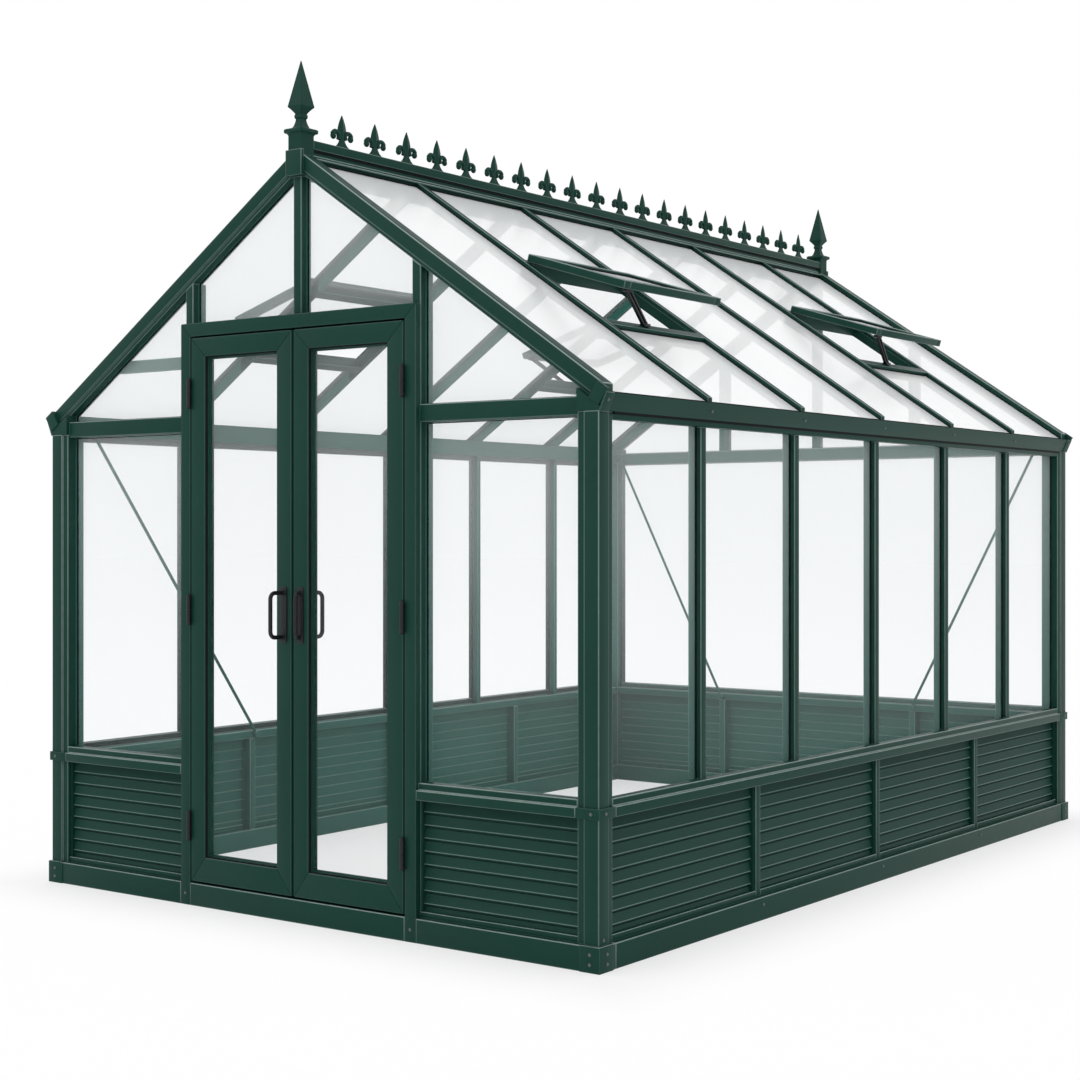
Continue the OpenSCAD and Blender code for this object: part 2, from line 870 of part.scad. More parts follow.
// Stiles and rails are mitred where they meet
module leaf_stiles() {
    on_leaf() slab([-face_proud, leaf_back]) {
        polygon([[0, 0], [stile, bottom_rail], [stile, leaf_h - top_rail], [0, leaf_h]]);
        translate([leaf_w, 0]) mirror([1, 0])
            polygon([[0, 0], [stile, bottom_rail], [stile, leaf_h - top_rail], [0, leaf_h]]);
    }
}

module leaf_rails() {
    inner = leaf_w - stile;
    on_leaf() slab([-face_proud, leaf_back]) {
        polygon([[0, 0], [leaf_w, 0], [inner, bottom_rail], [stile, bottom_rail]]);
        polygon([
            [0, leaf_h], [leaf_w, leaf_h], [inner, leaf_h - top_rail], [stile, leaf_h - top_rail]
        ]);
    }
}

module leaf_glass() {
    d = leaf_glass_in - face_proud;
    on_leaf() block([stile, leaf_w - stile], [d, d + glass_t], [bottom_rail, leaf_h - top_rail]);
}

// Bow handle on its plate, standing out along +y from a face at y = 0
module handle(out) {
    half = handle_h / 2;
    margin = handle_bar;
    bar_x = [-handle_bar / 2, handle_bar / 2];
    block([-handle_plate_w / 2, handle_plate_w / 2], [0, handle_plate_t],
        [-half - margin, half + margin]);
    block(bar_x, [out - handle_bar, out], [-half, half]);
    for (z = [-half, half - handle_bar])
        block(bar_x, [handle_plate_t, out - handle_bar], [z, z + handle_bar]);
}

// Handles on both faces of the right leaf, with the reach of each
module leaf_handles(outer, inner) {
    translate([meet_gap / 2 + stile / 2, 0, handle_z]) {
        translate([0, -face_proud, 0]) mirror([0, 1, 0]) handle(outer);
        translate([0, leaf_back, 0]) handle(inner);
    }
}

module left_door_stiles() {
    color(GREEN) on_front() mirror([1, 0, 0]) leaf_stiles();
}

module left_door_rails() {
    color(GREEN) on_front() mirror([1, 0, 0]) leaf_rails();
}

module left_door_glass() {
    color(PANE) on_front() mirror([1, 0, 0]) leaf_glass();
}

module left_door_handles() {
    color(BLACK) on_front() mirror([1, 0, 0]) leaf_handles(pull_out, slim_out);
}

module left_door_hinges() {
    color(BLACK) on_front() mirror([1, 0, 0]) leaf_hinges();
}

module right_door_stiles() {
    color(GREEN) on_front() leaf_stiles();
}

module right_door_rails() {
    color(GREEN) on_front() leaf_rails();
}

module right_door_glass() {
    color(PANE) on_front() leaf_glass();
}

module right_door_handles() {
    color(BLACK) on_front() leaf_handles(slim_out, pull_out);
}

module right_door_hinges() {
    color(BLACK) on_front() leaf_hinges();
}

base_end_rails();
base_side_rails();
corner_brackets();
door_threshold();
corner_posts();
dado_rails();
end_kick_panels();
side_kick_panels();
kick_panel_dividers();
left_mullions();
right_mullions();
gutters();
gable_rafters();
gable_posts();
tie_rails();
ridge_beam();
ridge_cresting();
finials();
left_roof_bars();
right_roof_bars();
left_wall_glass();
right_wall_glass();
front_glass();
back_glass();
left_roof_glass();
right_roof_glass();
vent_frame_bars();
vent_sash_stiles();
vent_sash_rails();
vent_glass();
vent_stays();
wind_braces();
door_jambs();
door_head();
door_hinge_pins();
left_door_stiles();
left_door_rails();
left_door_glass();
left_door_handles();
left_door_hinges();
right_door_stiles();
right_door_rails();
right_door_glass();
right_door_handles();
right_door_hinges();
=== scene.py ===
"""Looks of an aluminium greenhouse: coated frame, glazing, ironmongery, stage.

The file is laid out as an add-on and is run as a script. Lengths are in metres
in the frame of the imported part: +Z up, the doors in the -Y end, and +X to the
right of someone who looks at the doors.
"""

import math

import bmesh
import bpy
from bpy.props import FloatProperty, FloatVectorProperty, IntProperty, PointerProperty
from mathutils import Matrix, Vector


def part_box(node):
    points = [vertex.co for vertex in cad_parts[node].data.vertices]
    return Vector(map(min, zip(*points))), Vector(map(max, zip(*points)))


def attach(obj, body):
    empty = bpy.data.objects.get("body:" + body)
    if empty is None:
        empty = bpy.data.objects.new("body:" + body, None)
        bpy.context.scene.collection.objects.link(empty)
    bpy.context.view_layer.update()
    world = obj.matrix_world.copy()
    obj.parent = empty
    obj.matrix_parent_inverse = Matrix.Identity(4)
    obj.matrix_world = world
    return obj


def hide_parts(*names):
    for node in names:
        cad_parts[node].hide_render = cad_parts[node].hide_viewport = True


bl_info = {
    "name": "Greenhouse dresser",
    "version": (1, 0, 0),
    "blender": (4, 5, 0),
    "location": "View3D > Sidebar > Greenhouse",
    "description": "Dresses the packed greenhouse with its finishes and small parts",
    "category": "Object",
}

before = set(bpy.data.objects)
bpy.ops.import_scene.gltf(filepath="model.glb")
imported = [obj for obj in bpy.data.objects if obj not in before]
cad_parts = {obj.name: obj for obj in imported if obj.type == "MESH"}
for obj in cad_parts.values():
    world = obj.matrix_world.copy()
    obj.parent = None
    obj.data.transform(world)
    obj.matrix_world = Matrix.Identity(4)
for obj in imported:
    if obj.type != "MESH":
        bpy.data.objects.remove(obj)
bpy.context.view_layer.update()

# Planes and lines of the building, read from the solids
POST_LOW, POST_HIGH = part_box("corner_posts")
HALF_W = POST_HIGH.x
FRONT_Y = POST_LOW.y
BACK_Y = POST_HIGH.y
MID_Y = (FRONT_Y + BACK_Y) / 2
HALF_L = BACK_Y - MID_Y
BASE_TOP = POST_LOW.z
EAVES_Z = POST_HIGH.z
DADO_LOW, DADO_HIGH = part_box("dado_rails")
DADO_Z = DADO_LOW.z + 0.016
FACE_OUT = DADO_HIGH.x - HALF_W
FACE_Y = FRONT_Y - FACE_OUT
DOOR_X, _, HEAD_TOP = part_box("door_jambs")[1]

# Sections and steps of the walls
POST_W = 0.080
BAYS = 6
BAY = (BACK_Y - FRONT_Y) / BAYS
DIVIDER_W = 0.030
DIVIDER_STEP = (BAY * BAYS - 2 * POST_W + DIVIDER_W) / 4
GABLE_POST_W = 0.035
MULLION_HALF = 0.016
GLASS_IN = 0.0415
GLASS_T = 0.004

# The slopes, from the ridge beam's side down, and the open vents in them
PITCH = math.radians(34)
ROOF_RISE = 0.052
ROOF_OUT = 0.006
RIDGE_X = 0.020
RIDGE_Z = EAVES_Z + ROOF_RISE + (HALF_W + ROOF_OUT - RIDGE_X) * math.tan(PITCH)
VENT_BAYS = (1, 4)
VENT_X = 0.654
VENT_HALF_X = 0.20
VENT_HALF_Y = BAY / 2 + 0.03
VENT_RUN = 0.566
VENT_TILT = PITCH - math.radians(17)
SASH_W = 0.604
SASH_LIFT = 0.016

# The door: its frame, its leaves, and their trim's sections as inset from the
# glass's edge and depth behind the leaf's face
DOOR_FRAME_W = 0.046
LEAF_T = 0.040
LEAVES = (("left_door", -1), ("right_door", 1))
OUTER_BEAD = (
    (-0.002, 0.011), (0.004, 0.011), (0.006, 0.013), (0.006, 0.018), (0.009, 0.020),
    (0.009, 0.026), (-0.002, 0.026))
INNER_BEAD = ((-0.002, 0.030), (0.008, 0.030), (0.008, 0.036), (0.005, 0.039), (-0.002, 0.039))
GLAZING_SEAL = (
    (-0.001, 0.004), (0.003, 0.004), (0.004, 0.005), (0.004, 0.0108), (-0.001, 0.0108))
HINGE_H = 0.100
BOW_HALF = 0.073
SCREW_HALF = 0.050


# The three kinds of setting that a user may change
def length(name, description, default, low, high):
    return FloatProperty(
        name=name, description=description, default=default, min=low, max=high, unit="LENGTH")


def count(name, description, default, low, high):
    return IntProperty(name=name, description=description, default=default, min=low, max=high)


def shade(name, description, default):
    return FloatVectorProperty(
        name=name, description=description, default=default, size=3, min=0, max=1, subtype="COLOR")


class GreenhouseSizes(bpy.types.PropertyGroup):
    """Sizes of the small parts that dress the frame"""

    edge: length("Edge radius", "Rounding of the coated bars' edges", 0.0030, 0.0005, 0.004)
    boards: count("Boards", "Number of lapped boards in a kick panel", 9, 6, 12)
    gasket_w: length(
        "Gasket width", "Width of the rubber gasket round each pane", 0.006, 0.004, 0.016)
    gasket_t: length("Gasket height", "How far a gasket stands off the glass", 0.003, 0.001, 0.005)
    bolt_r: length(
        "Bolt head radius", "Radius of the bolt heads on the frame", 0.0056, 0.003, 0.010)
    spike_h: length(
        "Crest spike height", "Height of a crest spike",
        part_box("ridge_cresting")[1].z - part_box("ridge_cresting")[0].z, 0.08, 0.14)
    spikes: count("Crest spikes", "Number of crest spikes along the ridge", 20, 10, 24)
    bow_r: length(
        "Handle bar radius", "Radius of the round bar of a door handle", 0.0070, 0.004, 0.008)
    knuckle_r: length("Hinge barrel radius", "Radius of the hinge barrels", 0.008, 0.006, 0.009)


class GreenhouseColours(bpy.types.PropertyGroup):
    """Colours of the finishes, in linear light"""

    green: shade("Frame green", "Powder coat of the frame", (0.0072, 0.0435, 0.0315))
    board: shade("Board green", "Powder coat of the kick panels' boards", (0.0110, 0.0465, 0.0360))
    # Nose green is a painted highlight on the boards' noses
    nose: shade("Nose green", "Paler coat on the boards' noses", (0.30, 0.44, 0.39))
    # Edge green is a painted highlight on the rounded edges
    arris: shade("Edge green", "Paler coat on the rounded edges", (0.48, 0.58, 0.55))
    # Indoor green is painted light: a paler tone behind the glass for the glass's veil
    inner: shade("Indoor green", "Coat behind the glass, lightened as painted light", (0.034, 0.130, 0.106))
    black: shade("Ironmongery black", "Coat of handles, hinges and stays", (0.008, 0.009, 0.010))
    rubber: shade("Gasket black", "Rubber of gaskets and door seals", (0.005, 0.007, 0.007))
    zinc: shade("Bolt zinc", "Plated steel of the bolt heads", (0.13, 0.15, 0.145))
    glass: shade("Glass tint", "Colour of what is seen through one pane", (0.992, 0.995, 0.997))
    floor: shade("Floor", "Colour of the floor under the building", (0.90, 0.90, 0.90))


class Link:
    """One node's output; arithmetic on it adds Math nodes to the same graph."""

    def __init__(self, graph, socket):
        self.graph = graph
        self.socket = socket

    def _math(self, operation, first, second):
        return self.graph.node("ShaderNodeMath", {"operation": operation}, {0: first, 1: second})

    def __add__(self, other):
        return self._math("ADD", self, other)

    def __radd__(self, other):
        return self._math("ADD", other, self)

    def __sub__(self, other):
        return self._math("SUBTRACT", self, other)

    def __rsub__(self, other):
        return self._math("SUBTRACT", other, self)

    def __mul__(self, other):
        return self._math("MULTIPLY", self, other)

    def __rmul__(self, other):
        return self._math("MULTIPLY", other, self)

    def __abs__(self):
        return self._math("ABSOLUTE", self, 0.0)

    def least(self, other):
        return self._math("MINIMUM", self, other)


class Graph:
    """A node tree that is built by plain calls."""

    def __init__(self, tree):
        self.tree = tree
        self.names = {}

    def node(self, kind, settings=None, sockets=None, out=0):
        """Adds a node: settings first, then the values or links of its sockets."""
        made = self.tree.nodes.new(kind)
        for name, value in (settings or {}).items():
            setattr(made, name, value)
        for key, value in (sockets or {}).items():
            if isinstance(value, Link):
                self.tree.links.new(value.socket, made.inputs[key])
            else:
                made.inputs[key].default_value = value
        return Link(self, made.outputs[out]) if len(made.outputs) else None

    def outs(self, kind, sockets, *names):
        """Adds a node and gives several of its outputs."""
        made = self.node(kind, None, sockets).socket.node
        return [Link(self, made.outputs[name]) for name in names]

    def noise(self, where, scale, detail):
        return self.node("ShaderNodeTexNoise", None, {
            "Vector": where, "Scale": scale, "Detail": detail})

    def remap(self, value, low, high, first=0.0, last=1.0, kind="LINEAR"):
        """Maps one range of a value to another and holds it there."""
        return self.node("ShaderNodeMapRange", {"interpolation_type": kind}, {
            "Value": value, "From Min": low, "From Max": high, "To Min": first, "To Max": last})

    def blend(self, share, first, second):
        """Mixes two colours: none of the second at 0, only the second at 1."""
        return self.node("ShaderNodeMix", {"data_type": "RGBA"}, {0: share, 6: first, 7: second}, out=2)

    def vector(self, name):
        """A named vector that the points of a Geometry Nodes tree carry."""
        return self.node(
            "GeometryNodeInputNamedAttribute", {"data_type": "FLOAT_VECTOR"}, {"Name": name})


def rgba(colour, strength=1.0):
    return (*(min(1.0, c * strength) for c in colour), 1.0)


def material_graph(name):
    made = bpy.data.materials.new(name)
    made.use_nodes = True
    made.node_tree.nodes.clear()
    return made, Graph(made.node_tree)


def surfaced(made, g, kind, sockets):
    """Ends a material in a shader of this kind."""
    g.node("ShaderNodeOutputMaterial", None, {"Surface": g.node(kind, None, sockets)})
    return made


def indoors(g, where):
    """1 where a place lies behind the glass of walls and roof, 0 outside it and in a vent; there the
    coat is painted lighter.
    """
    x, y, z = g.outs("ShaderNodeSeparateXYZ", {0: where}, "X", "Y", "Z")
    across = abs(x)
    along = abs(y - MID_Y)
    roof = EAVES_Z + ROOF_RISE - GLASS_T + (HALF_W + ROOF_OUT) * math.tan(PITCH)
    under = roof - z - across * math.tan(PITCH)
    depth = (HALF_W - GLASS_IN - across).least(HALF_L - GLASS_IN - along).least(under)
    vent = (VENT_HALF_Y - abs(along - BAY * 1.5)).least(VENT_HALF_X - abs(across - VENT_X))
    return g.remap(depth.least(0 - vent), 0.0, 0.001)


def coat(name, colour, edge, inner, rough):
    """Powder coat: orange peel and cloudy tone, with painted light: a paler tone indoors that stands in
    for the glass's veil, and a painted highlight on the rounded arrises, strongest on faces that look
    up.
    """
    made, g = material_graph(name)
    where = g.node("ShaderNodeTexCoord", out="Object")
    cloud = g.noise(where, 2.3, 4.0)
    smear = g.noise(where, 34.0, 3.0)
    peel = g.noise(where, 420.0, 2.0)
    mottle = cloud * 0.7 + smear * 0.3
    tone = g.blend(mottle, rgba(colour, 0.80), rgba(colour, 1.22))
    painted_indoor_tone = g.blend(mottle, rgba(inner, 0.80), rgba(inner, 1.22))
    # Behind the glass the coat takes a paler tone: painted light that stands in for the glass's veil
    # and the light indoors
    tone = g.blend(indoors(g, where), tone, painted_indoor_tone)
    facing = g.node("ShaderNodeNewGeometry", out="Normal")
    upward = g.node("ShaderNodeSeparateXYZ", None, {0: facing}, out="Z")
    # Painted highlight on the rounded arrises, stronger on faces that look up, as if lit from above
    lit = g.remap(upward, -0.2, 0.75, 0.12, 0.70)
    arris = g.node("ShaderNodeAttribute", {"attribute_name": "arris"}, out="Fac")
    painted_highlight = arris * lit * (0.75 + smear * 0.5)
    bump = g.node("ShaderNodeBump", None, {"Strength": 0.06, "Distance": 0.0004, "Height": peel})
    return surfaced(made, g, "ShaderNodeBsdfPrincipled", {
        "Base Color": g.blend(painted_highlight, tone, rgba(edge)), "Roughness": rough + smear * 0.10,
        "Specular IOR Level": 0.10, "Normal": bump})


def plain_finish(name, colour, rough, metal, shine, grain, depth):
    """A small part's finish: even colour with a fine grain in gloss and relief."""
    made, g = material_graph(name)
    speck = g.noise(g.node("ShaderNodeTexCoord", out="Object"), grain, 3.0)
    tone = g.blend(speck, rgba(colour, 0.75), rgba(colour, 1.3))
    bump = g.node("ShaderNodeBump", None, {"Strength": 0.2, "Distance": depth, "Height": speck})
    return surfaced(made, g, "ShaderNodeBsdfPrincipled", {
        "Base Color": tone, "Metallic": metal, "Specular IOR Level": shine,
        "Roughness": rough + speck * 0.15, "Normal": bump})


def pane_finish(name, tint, start, low, high, gleam):
    """Float glass with a pale sheet mixed in as a painted reflection of the sky, heavier higher up the
    walls and on the roof.
    """
    made, g = material_graph(name)
    where = g.node("ShaderNodeTexCoord", out="Object")
    cloud = g.noise(where, 1.3, 4.0)
    mirror = g.node("ShaderNodeFresnel", None, {"IOR": 1.47})
    behind, normal = g.outs("ShaderNodeNewGeometry", {}, "Backfacing", "Normal")
    height = g.node("ShaderNodeSeparateXYZ", None, {0: where}, out="Z")
    wall = g.remap(height, start, 1.65, low, high, "SMOOTHSTEP")
    upward = g.node("ShaderNodeSeparateXYZ", None, {0: normal}, out="Z")
    roof = g.remap(upward, 0.3, 0.7)
    # Painted reflection: a pale sheet stands in for the sky seen in the glass, and only faces turned to
    # the viewer get it
    painted_sky_veil = (wall + roof * 0.52) * (0.85 + cloud * 0.3)
    share = (painted_sky_veil + mirror * (1 - mirror) * gleam) * (1 - behind)
    through = g.node("ShaderNodeBsdfTransparent", None, {"Color": rgba(tint)})
    tone = g.blend(roof, (0.95, 0.985, 0.99, 1), (0.97, 0.98, 0.985, 1))
    pale = g.node("ShaderNodeBsdfPrincipled", None, {"Base Color": tone, "Roughness": 0.22})
    return surfaced(made, g, "ShaderNodeMixShader", {0: share, 1: through, 2: pale})


FINISHES = {}


def finish(name):
    """The named finish, made from the colours on its first use."""
    if name not in FINISHES:
        c = bpy.context.scene.greenhouse_colours
        make, *values = {
            "green": (coat, "green_powder_coat", c.green, c.arris, c.inner, 0.36),
            "boards": (coat, "board_powder_coat", c.board, c.nose, c.inner, 0.44),
            "black": (plain_finish, "black_satin_coat", c.black, 0.32, 0.0, 0.30, 260.0, 0.0002),
            "rubber": (plain_finish, "gasket_rubber", c.rubber, 0.60, 0.0, 0.10, 420.0, 0.0003),
            "zinc": (plain_finish, "plated_bolt", c.zinc, 0.30, 1.0, 0.50, 600.0, 0.0001),
            "door_glass": (pane_finish, "door_glass", c.glass, 1.10, 0.026, 0.13, 0.20),
            "glass": (pane_finish, "clear_glass", c.glass, 0.50, 0.025, 0.18, 0.45)}[name]
        FINISHES[name] = make(*values)
    return FINISHES[name]


def turned_out(shape):
    """The same bmesh with its faces turned outwards."""
    bmesh.ops.recalc_face_normals(shape, faces=shape.faces)
    return shape


def mesh_from(name, shape, smooth=20):
    """Turns a bmesh into a mesh whose gentle edges are smooth."""
    mesh = bpy.data.meshes.new(name)
    shape.to_mesh(mesh)
    shape.free()
    mesh.shade_smooth()
    mesh.set_sharp_from_angle(angle=math.radians(smooth))
    return mesh


def linked(name, data):
    """A new object in the scene."""
    made = bpy.data.objects.new(name, data)
    bpy.context.scene.collection.objects.link(made)
    return made


def place(name, mesh, coating, body="frame", replaces=()):
    """Puts a finished mesh in the scene as one piece that rides on a body."""
    piece = linked(name, mesh)
    mesh.materials.clear()
    mesh.materials.append(finish(coating))
    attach(piece, body)
    if replaces:
        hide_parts(*replaces)


def build(name, shape, coating, body="frame", replaces=(), smooth=20):
    """Places a bmesh as one piece."""
    place(name, mesh_from(name, turned_out(shape), smooth), coating, body, replaces)


def ease(shape, edge, edges=None, mitred=False):
    """Rounds sharp edges and marks the faces that this makes as arrises, which the coat paints with a
    highlight.

    In a mitred piece the arrises' painted highlight shows less, and the slanting edges
    belong to its joints and stay unmarked.
    """
    sharp = [
        e for e in (edges or shape.edges)
        if e.is_manifold and e.calc_face_angle() > math.radians(20)]
    mark = shape.faces.layers.float.get("arris") or shape.faces.layers.float.new("arris")
    made = bmesh.ops.bevel(
        shape, geom=sharp, offset=edge, segments=2, profile=0.6, affect="EDGES",
        clamp_overlap=True)
    # Each new face carries how strong its painted highlight is
    for face in made["faces"]:
        run = max(face.edges, key=lambda e: e.calc_length())
        line = (run.verts[0].co - run.verts[1].co).normalized()
        joint = mitred and abs(line.x) > 0.2 and abs(line.z) > 0.2
        face[mark] = 0.0 if joint else 0.2 if mitred else 1.0


def merged(name):
    """A node's mesh as a bmesh with its doubles merged and its flats joined.

    Solids of the node that touch along an edge stay apart.
    """
    whole = bmesh.new()
    whole.from_mesh(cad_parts[name].data)
    bmesh.ops.remove_doubles(whole, verts=whole.verts, dist=1e-5)
    whole.faces.index_update()
    waiting = {face.index: face for face in whole.faces}
    shape = bmesh.new()
    while waiting:
        front = [waiting.pop(min(waiting))]
        corners = {}
        while front:
            face = front.pop()
            for vert in face.verts:
                if vert not in corners:
                    corners[vert] = shape.verts.new(vert.co)
            shape.faces.new([corners[vert] for vert in face.verts])
            for edge in face.edges:
                if len(edge.link_faces) == 2:
                    front += [waiting.pop(f.index) for f in edge.link_faces if f.index in waiting]
    whole.free()
    shape.normal_update()
    bmesh.ops.dissolve_limit(
        shape, angle_limit=math.radians(0.5), verts=shape.verts, edges=shape.edges)
    return shape


def dress(names, coating, edge, body="frame", mitred=False):
    """Replaces solids by copies of themselves with rounded arrises."""
    for name in names:
        shape = merged(name)
        ease(shape, edge, None, mitred)
        place(name + "_coated", mesh_from(name, shape), coating, body, (name,))


def loft(shape, rings):
    """Joins rings of points into a skin and caps its ends."""
    made = [[shape.verts.new(p) for p in ring] for ring in rings]
    sides = len(made[0])
    for low, high in zip(made, made[1:]):
        for k in range(sides):
            shape.faces.new((low[k], low[(k + 1) % sides], high[(k + 1) % sides], high[k]))
    shape.faces.new(list(reversed(made[0])))
    shape.faces.new(made[-1])


def lathe(shape, outline, place_at, sides=16):
    """Turns an outline of radius and height about the z axis of a matrix."""
    angles = [k * math.tau / sides for k in range(sides)]
    loft(shape, [
        [place_at @ Vector((radius * math.cos(a), radius * math.sin(a), height)) for a in angles]
        for radius, height in outline])


def tube(shape, path, radius, sides=12):
    """Sweeps a round section along a path that bends in one plane."""
    normal = Vector()
    for a, b, c in zip(path, path[1:], path[2:]):
        normal += (b - a).cross(c - b)
    normal.normalize()
    rings = []
    for k, point in enumerate(path):
        ahead = path[min(k + 1, len(path) - 1)] - path[max(k - 1, 0)]
        side = ahead.cross(normal).normalized()
        rings.append([
            point + radius * (math.cos(a) * side + math.sin(a) * normal)
            for a in (j * math.tau / sides for j in range(sides))])
    loft(shape, rings)


def block(shape, first, second, edge):
    """A box between two opposite corners with rounded arrises."""
    made = bmesh.ops.create_cube(shape, size=1.0)["verts"]
    for vert in made:
        vert.co = [(min if c < 0 else max)(a, b) for c, a, b in zip(vert.co, first, second)]
    ease(shape, edge, list(dict.fromkeys(e for v in made for e in v.link_edges)))


def mitred_frame(shape, low, high, section, to_world):
    """Sweeps a closed section round a rectangle, mitred at its corners.

    low and high are corners in the frame's own plane. The section's points are
    the inset from the rectangle's edge and the depth behind its plane.
    """
    corners = (
        (low[0], low[1], 1, 1), (high[0], low[1], -1, 1),
        (high[0], high[1], -1, -1), (low[0], high[1], 1, -1))
    rings = [
        [shape.verts.new(to_world(x + sx * inset, depth, z + sz * inset))
         for inset, depth in section]
        for x, z, sx, sz in corners]
    sides = len(section)
    for k in range(4):
        here, there = rings[k], rings[(k + 1) % 4]
        for j in range(sides):
            shape.faces.new((here[j], there[j], there[(j + 1) % sides], here[(j + 1) % sides]))


def on_front(x, depth, z):
    return Vector((x, FRONT_Y + depth, z))


def on_leaf(x, depth, z):
    return Vector((x, FACE_Y + depth, z))


def on_back(x, depth, z):
    return Vector((x, BACK_Y - depth, z))


def on_right(x, depth, z):
    return Vector((HALF_W - depth, MID_Y + x, z))


def on_left(x, depth, z):
    return Vector((depth - HALF_W, MID_Y + x, z))


def realise(base, graph, values, unit=None):
    """Runs a Geometry Nodes tree on a mesh and gives back the plain result.

    unit is the mesh that the tree repeats, if it repeats one.
    """
    holder = linked(base.name, base)
    if unit:
        values["Unit"] = linked(unit.name, unit)
    modifier = holder.modifiers.new("shape", "NODES")
    modifier.node_group = graph.tree
    for key, value in values.items():
        modifier[graph.names[key]] = value
    bpy.context.view_layer.update()
    view = bpy.context.evaluated_depsgraph_get()
    mesh = bpy.data.meshes.new_from_object(holder.evaluated_get(view))
    holder.modifiers.remove(modifier)
    bpy.data.objects.remove(holder)
    if unit:
        bpy.data.objects.remove(values["Unit"])
    return mesh


def point_mesh(name, points, edges=(), **vectors):
    """Loose points, or lines, that carry named vectors for a Geometry Nodes tree."""
    base = bpy.data.meshes.new(name)
    base.from_pydata(points, edges, [])
    for key, values in vectors.items():
        layer = base.attributes.new(key, "FLOAT_VECTOR", "POINT")
        layer.data.foreach_set("vector", [c for value in values for c in value])
    return base


def geometry_graph(name, **inputs):
    """A Geometry Nodes tree with named inputs, and the links that come from them."""
    tree = bpy.data.node_groups.new(name, "GeometryNodeTree")
    tree.is_modifier = True
    tree.interface.new_socket("Geometry", in_out="OUTPUT", socket_type="NodeSocketGeometry")
    g = Graph(tree)
    for key, kind in {"Geometry": "Geometry", **inputs, "Coat": "Material"}.items():
        socket = tree.interface.new_socket(key, in_out="INPUT", socket_type="NodeSocket" + kind)
        g.names[key] = socket.identifier
    return g, dict(zip(g.names, g.outs("NodeGroupInput", {}, *g.names)))


def coated(g, entry, rows):
    """Ends a Geometry Nodes tree: what it made is realised and given its coat."""
    rows = g.node("GeometryNodeRealizeInstances", None, {0: rows})
    rows = g.node("GeometryNodeSetMaterial", None, {0: rows, "Material": entry["Coat"]})
    g.node("NodeGroupOutput", None, {0: rows})
    return g


def copies(g, entry, points, **sockets):
    """Ends a Geometry Nodes tree in a copy of its unit on each point."""
    unit = g.node("GeometryNodeObjectInfo", None, {
        "Object": entry["Unit"], "As Instance": True}, out="Geometry")
    return coated(g, entry, g.node("GeometryNodeInstanceOnPoints", None, {
        "Points": points, "Instance": unit, **sockets}))


class GREENHOUSE_OT_frame(bpy.types.Operator):
    """Coats the bars of base, walls, gables and roof"""

    bl_idname = "greenhouse.coated_frame"
    bl_label = "Coated frame"

    def execute(self, context):
        sizes = context.scene.greenhouse_sizes
        dress((
            "base_end_rails", "base_side_rails", "door_threshold",
            "corner_posts", "dado_rails", "kick_panel_dividers", "left_mullions",
            "right_mullions", "gutters", "gable_rafters", "gable_posts", "tie_rails",
            "ridge_beam", "left_roof_bars", "right_roof_bars", "vent_frame_bars",
            "vent_sash_stiles", "vent_sash_rails"), "green", sizes.edge)
        dress(("corner_brackets", "door_jambs", "door_head"), "green", sizes.edge, mitred=True)
        dress(("wind_braces",), "green", 0.001)
        return {"FINISHED"}


def panel_runs():
    """The kick panels: their wall, their span along it and the wall's turn."""
    inner_x = HALF_W - POST_W
    inner_y = BAY * BAYS / 2 - POST_W
    post_x = DOOR_X - GABLE_POST_W / 2
    half = DIVIDER_W / 2
    runs = [
        (on_front, DOOR_X, inner_x, 0), (on_front, -inner_x, -DOOR_X, 0),
        (on_back, -inner_x, -post_x - half, 2), (on_back, post_x + half, inner_x, 2),
        (on_back, half - post_x, post_x - half, 2)]
    for side, turn in ((on_left, -1), (on_right, 1)):
        for k in range(4):
            start = k * DIVIDER_STEP - inner_y
            runs.append((side, start, start + DIVIDER_STEP - DIVIDER_W, turn))
    return runs


def board_mesh(step):
    """One lapped board, a metre long: a round nose outside and a bead inside."""
    shape = bmesh.new()
    mark = shape.faces.layers.float.new("arris")
    top = step * 1000
    outline = (
        (40.0, 0.0), (31.4, 0.0), (30.0, 0.6), (29.5, 1.8), (29.9, 3.2), (31.0, 4.2),
        (36.2, top - 7.5), (40.6, top - 6.5), (40.6, top), (42.6, top), (44.6, top - 1.6),
        (44.6, top - 4.0), (42.8, top - 5.4), (42.8, 0.0))
    loft(shape, [[Vector((x, d / 1000, z / 1000)) for d, z in outline] for x in (0.0, 1.0)])
    for face in turned_out(shape).faces:
        middle = face.calc_center_median()
        # Nose and inner bead faces get a painted highlight
        nose = middle.y < 0.0308 and len(face.verts) == 4
        bead = middle.y > 0.0430 and middle.z > step - 0.006
        face[mark] = 0.75 if nose or bead else 0.0
    return mesh_from("lapped_board", shape, 40)


def board_graph():
    """Sets a board on each point, turned and stretched by the point's attributes."""
    g, entry = geometry_graph("lapped_boards", Unit="Object")
    turn = g.node("FunctionNodeEulerToRotation", None, {0: g.vector("turn")})
    return copies(g, entry, entry["Geometry"], Rotation=turn, Scale=g.vector("span"))


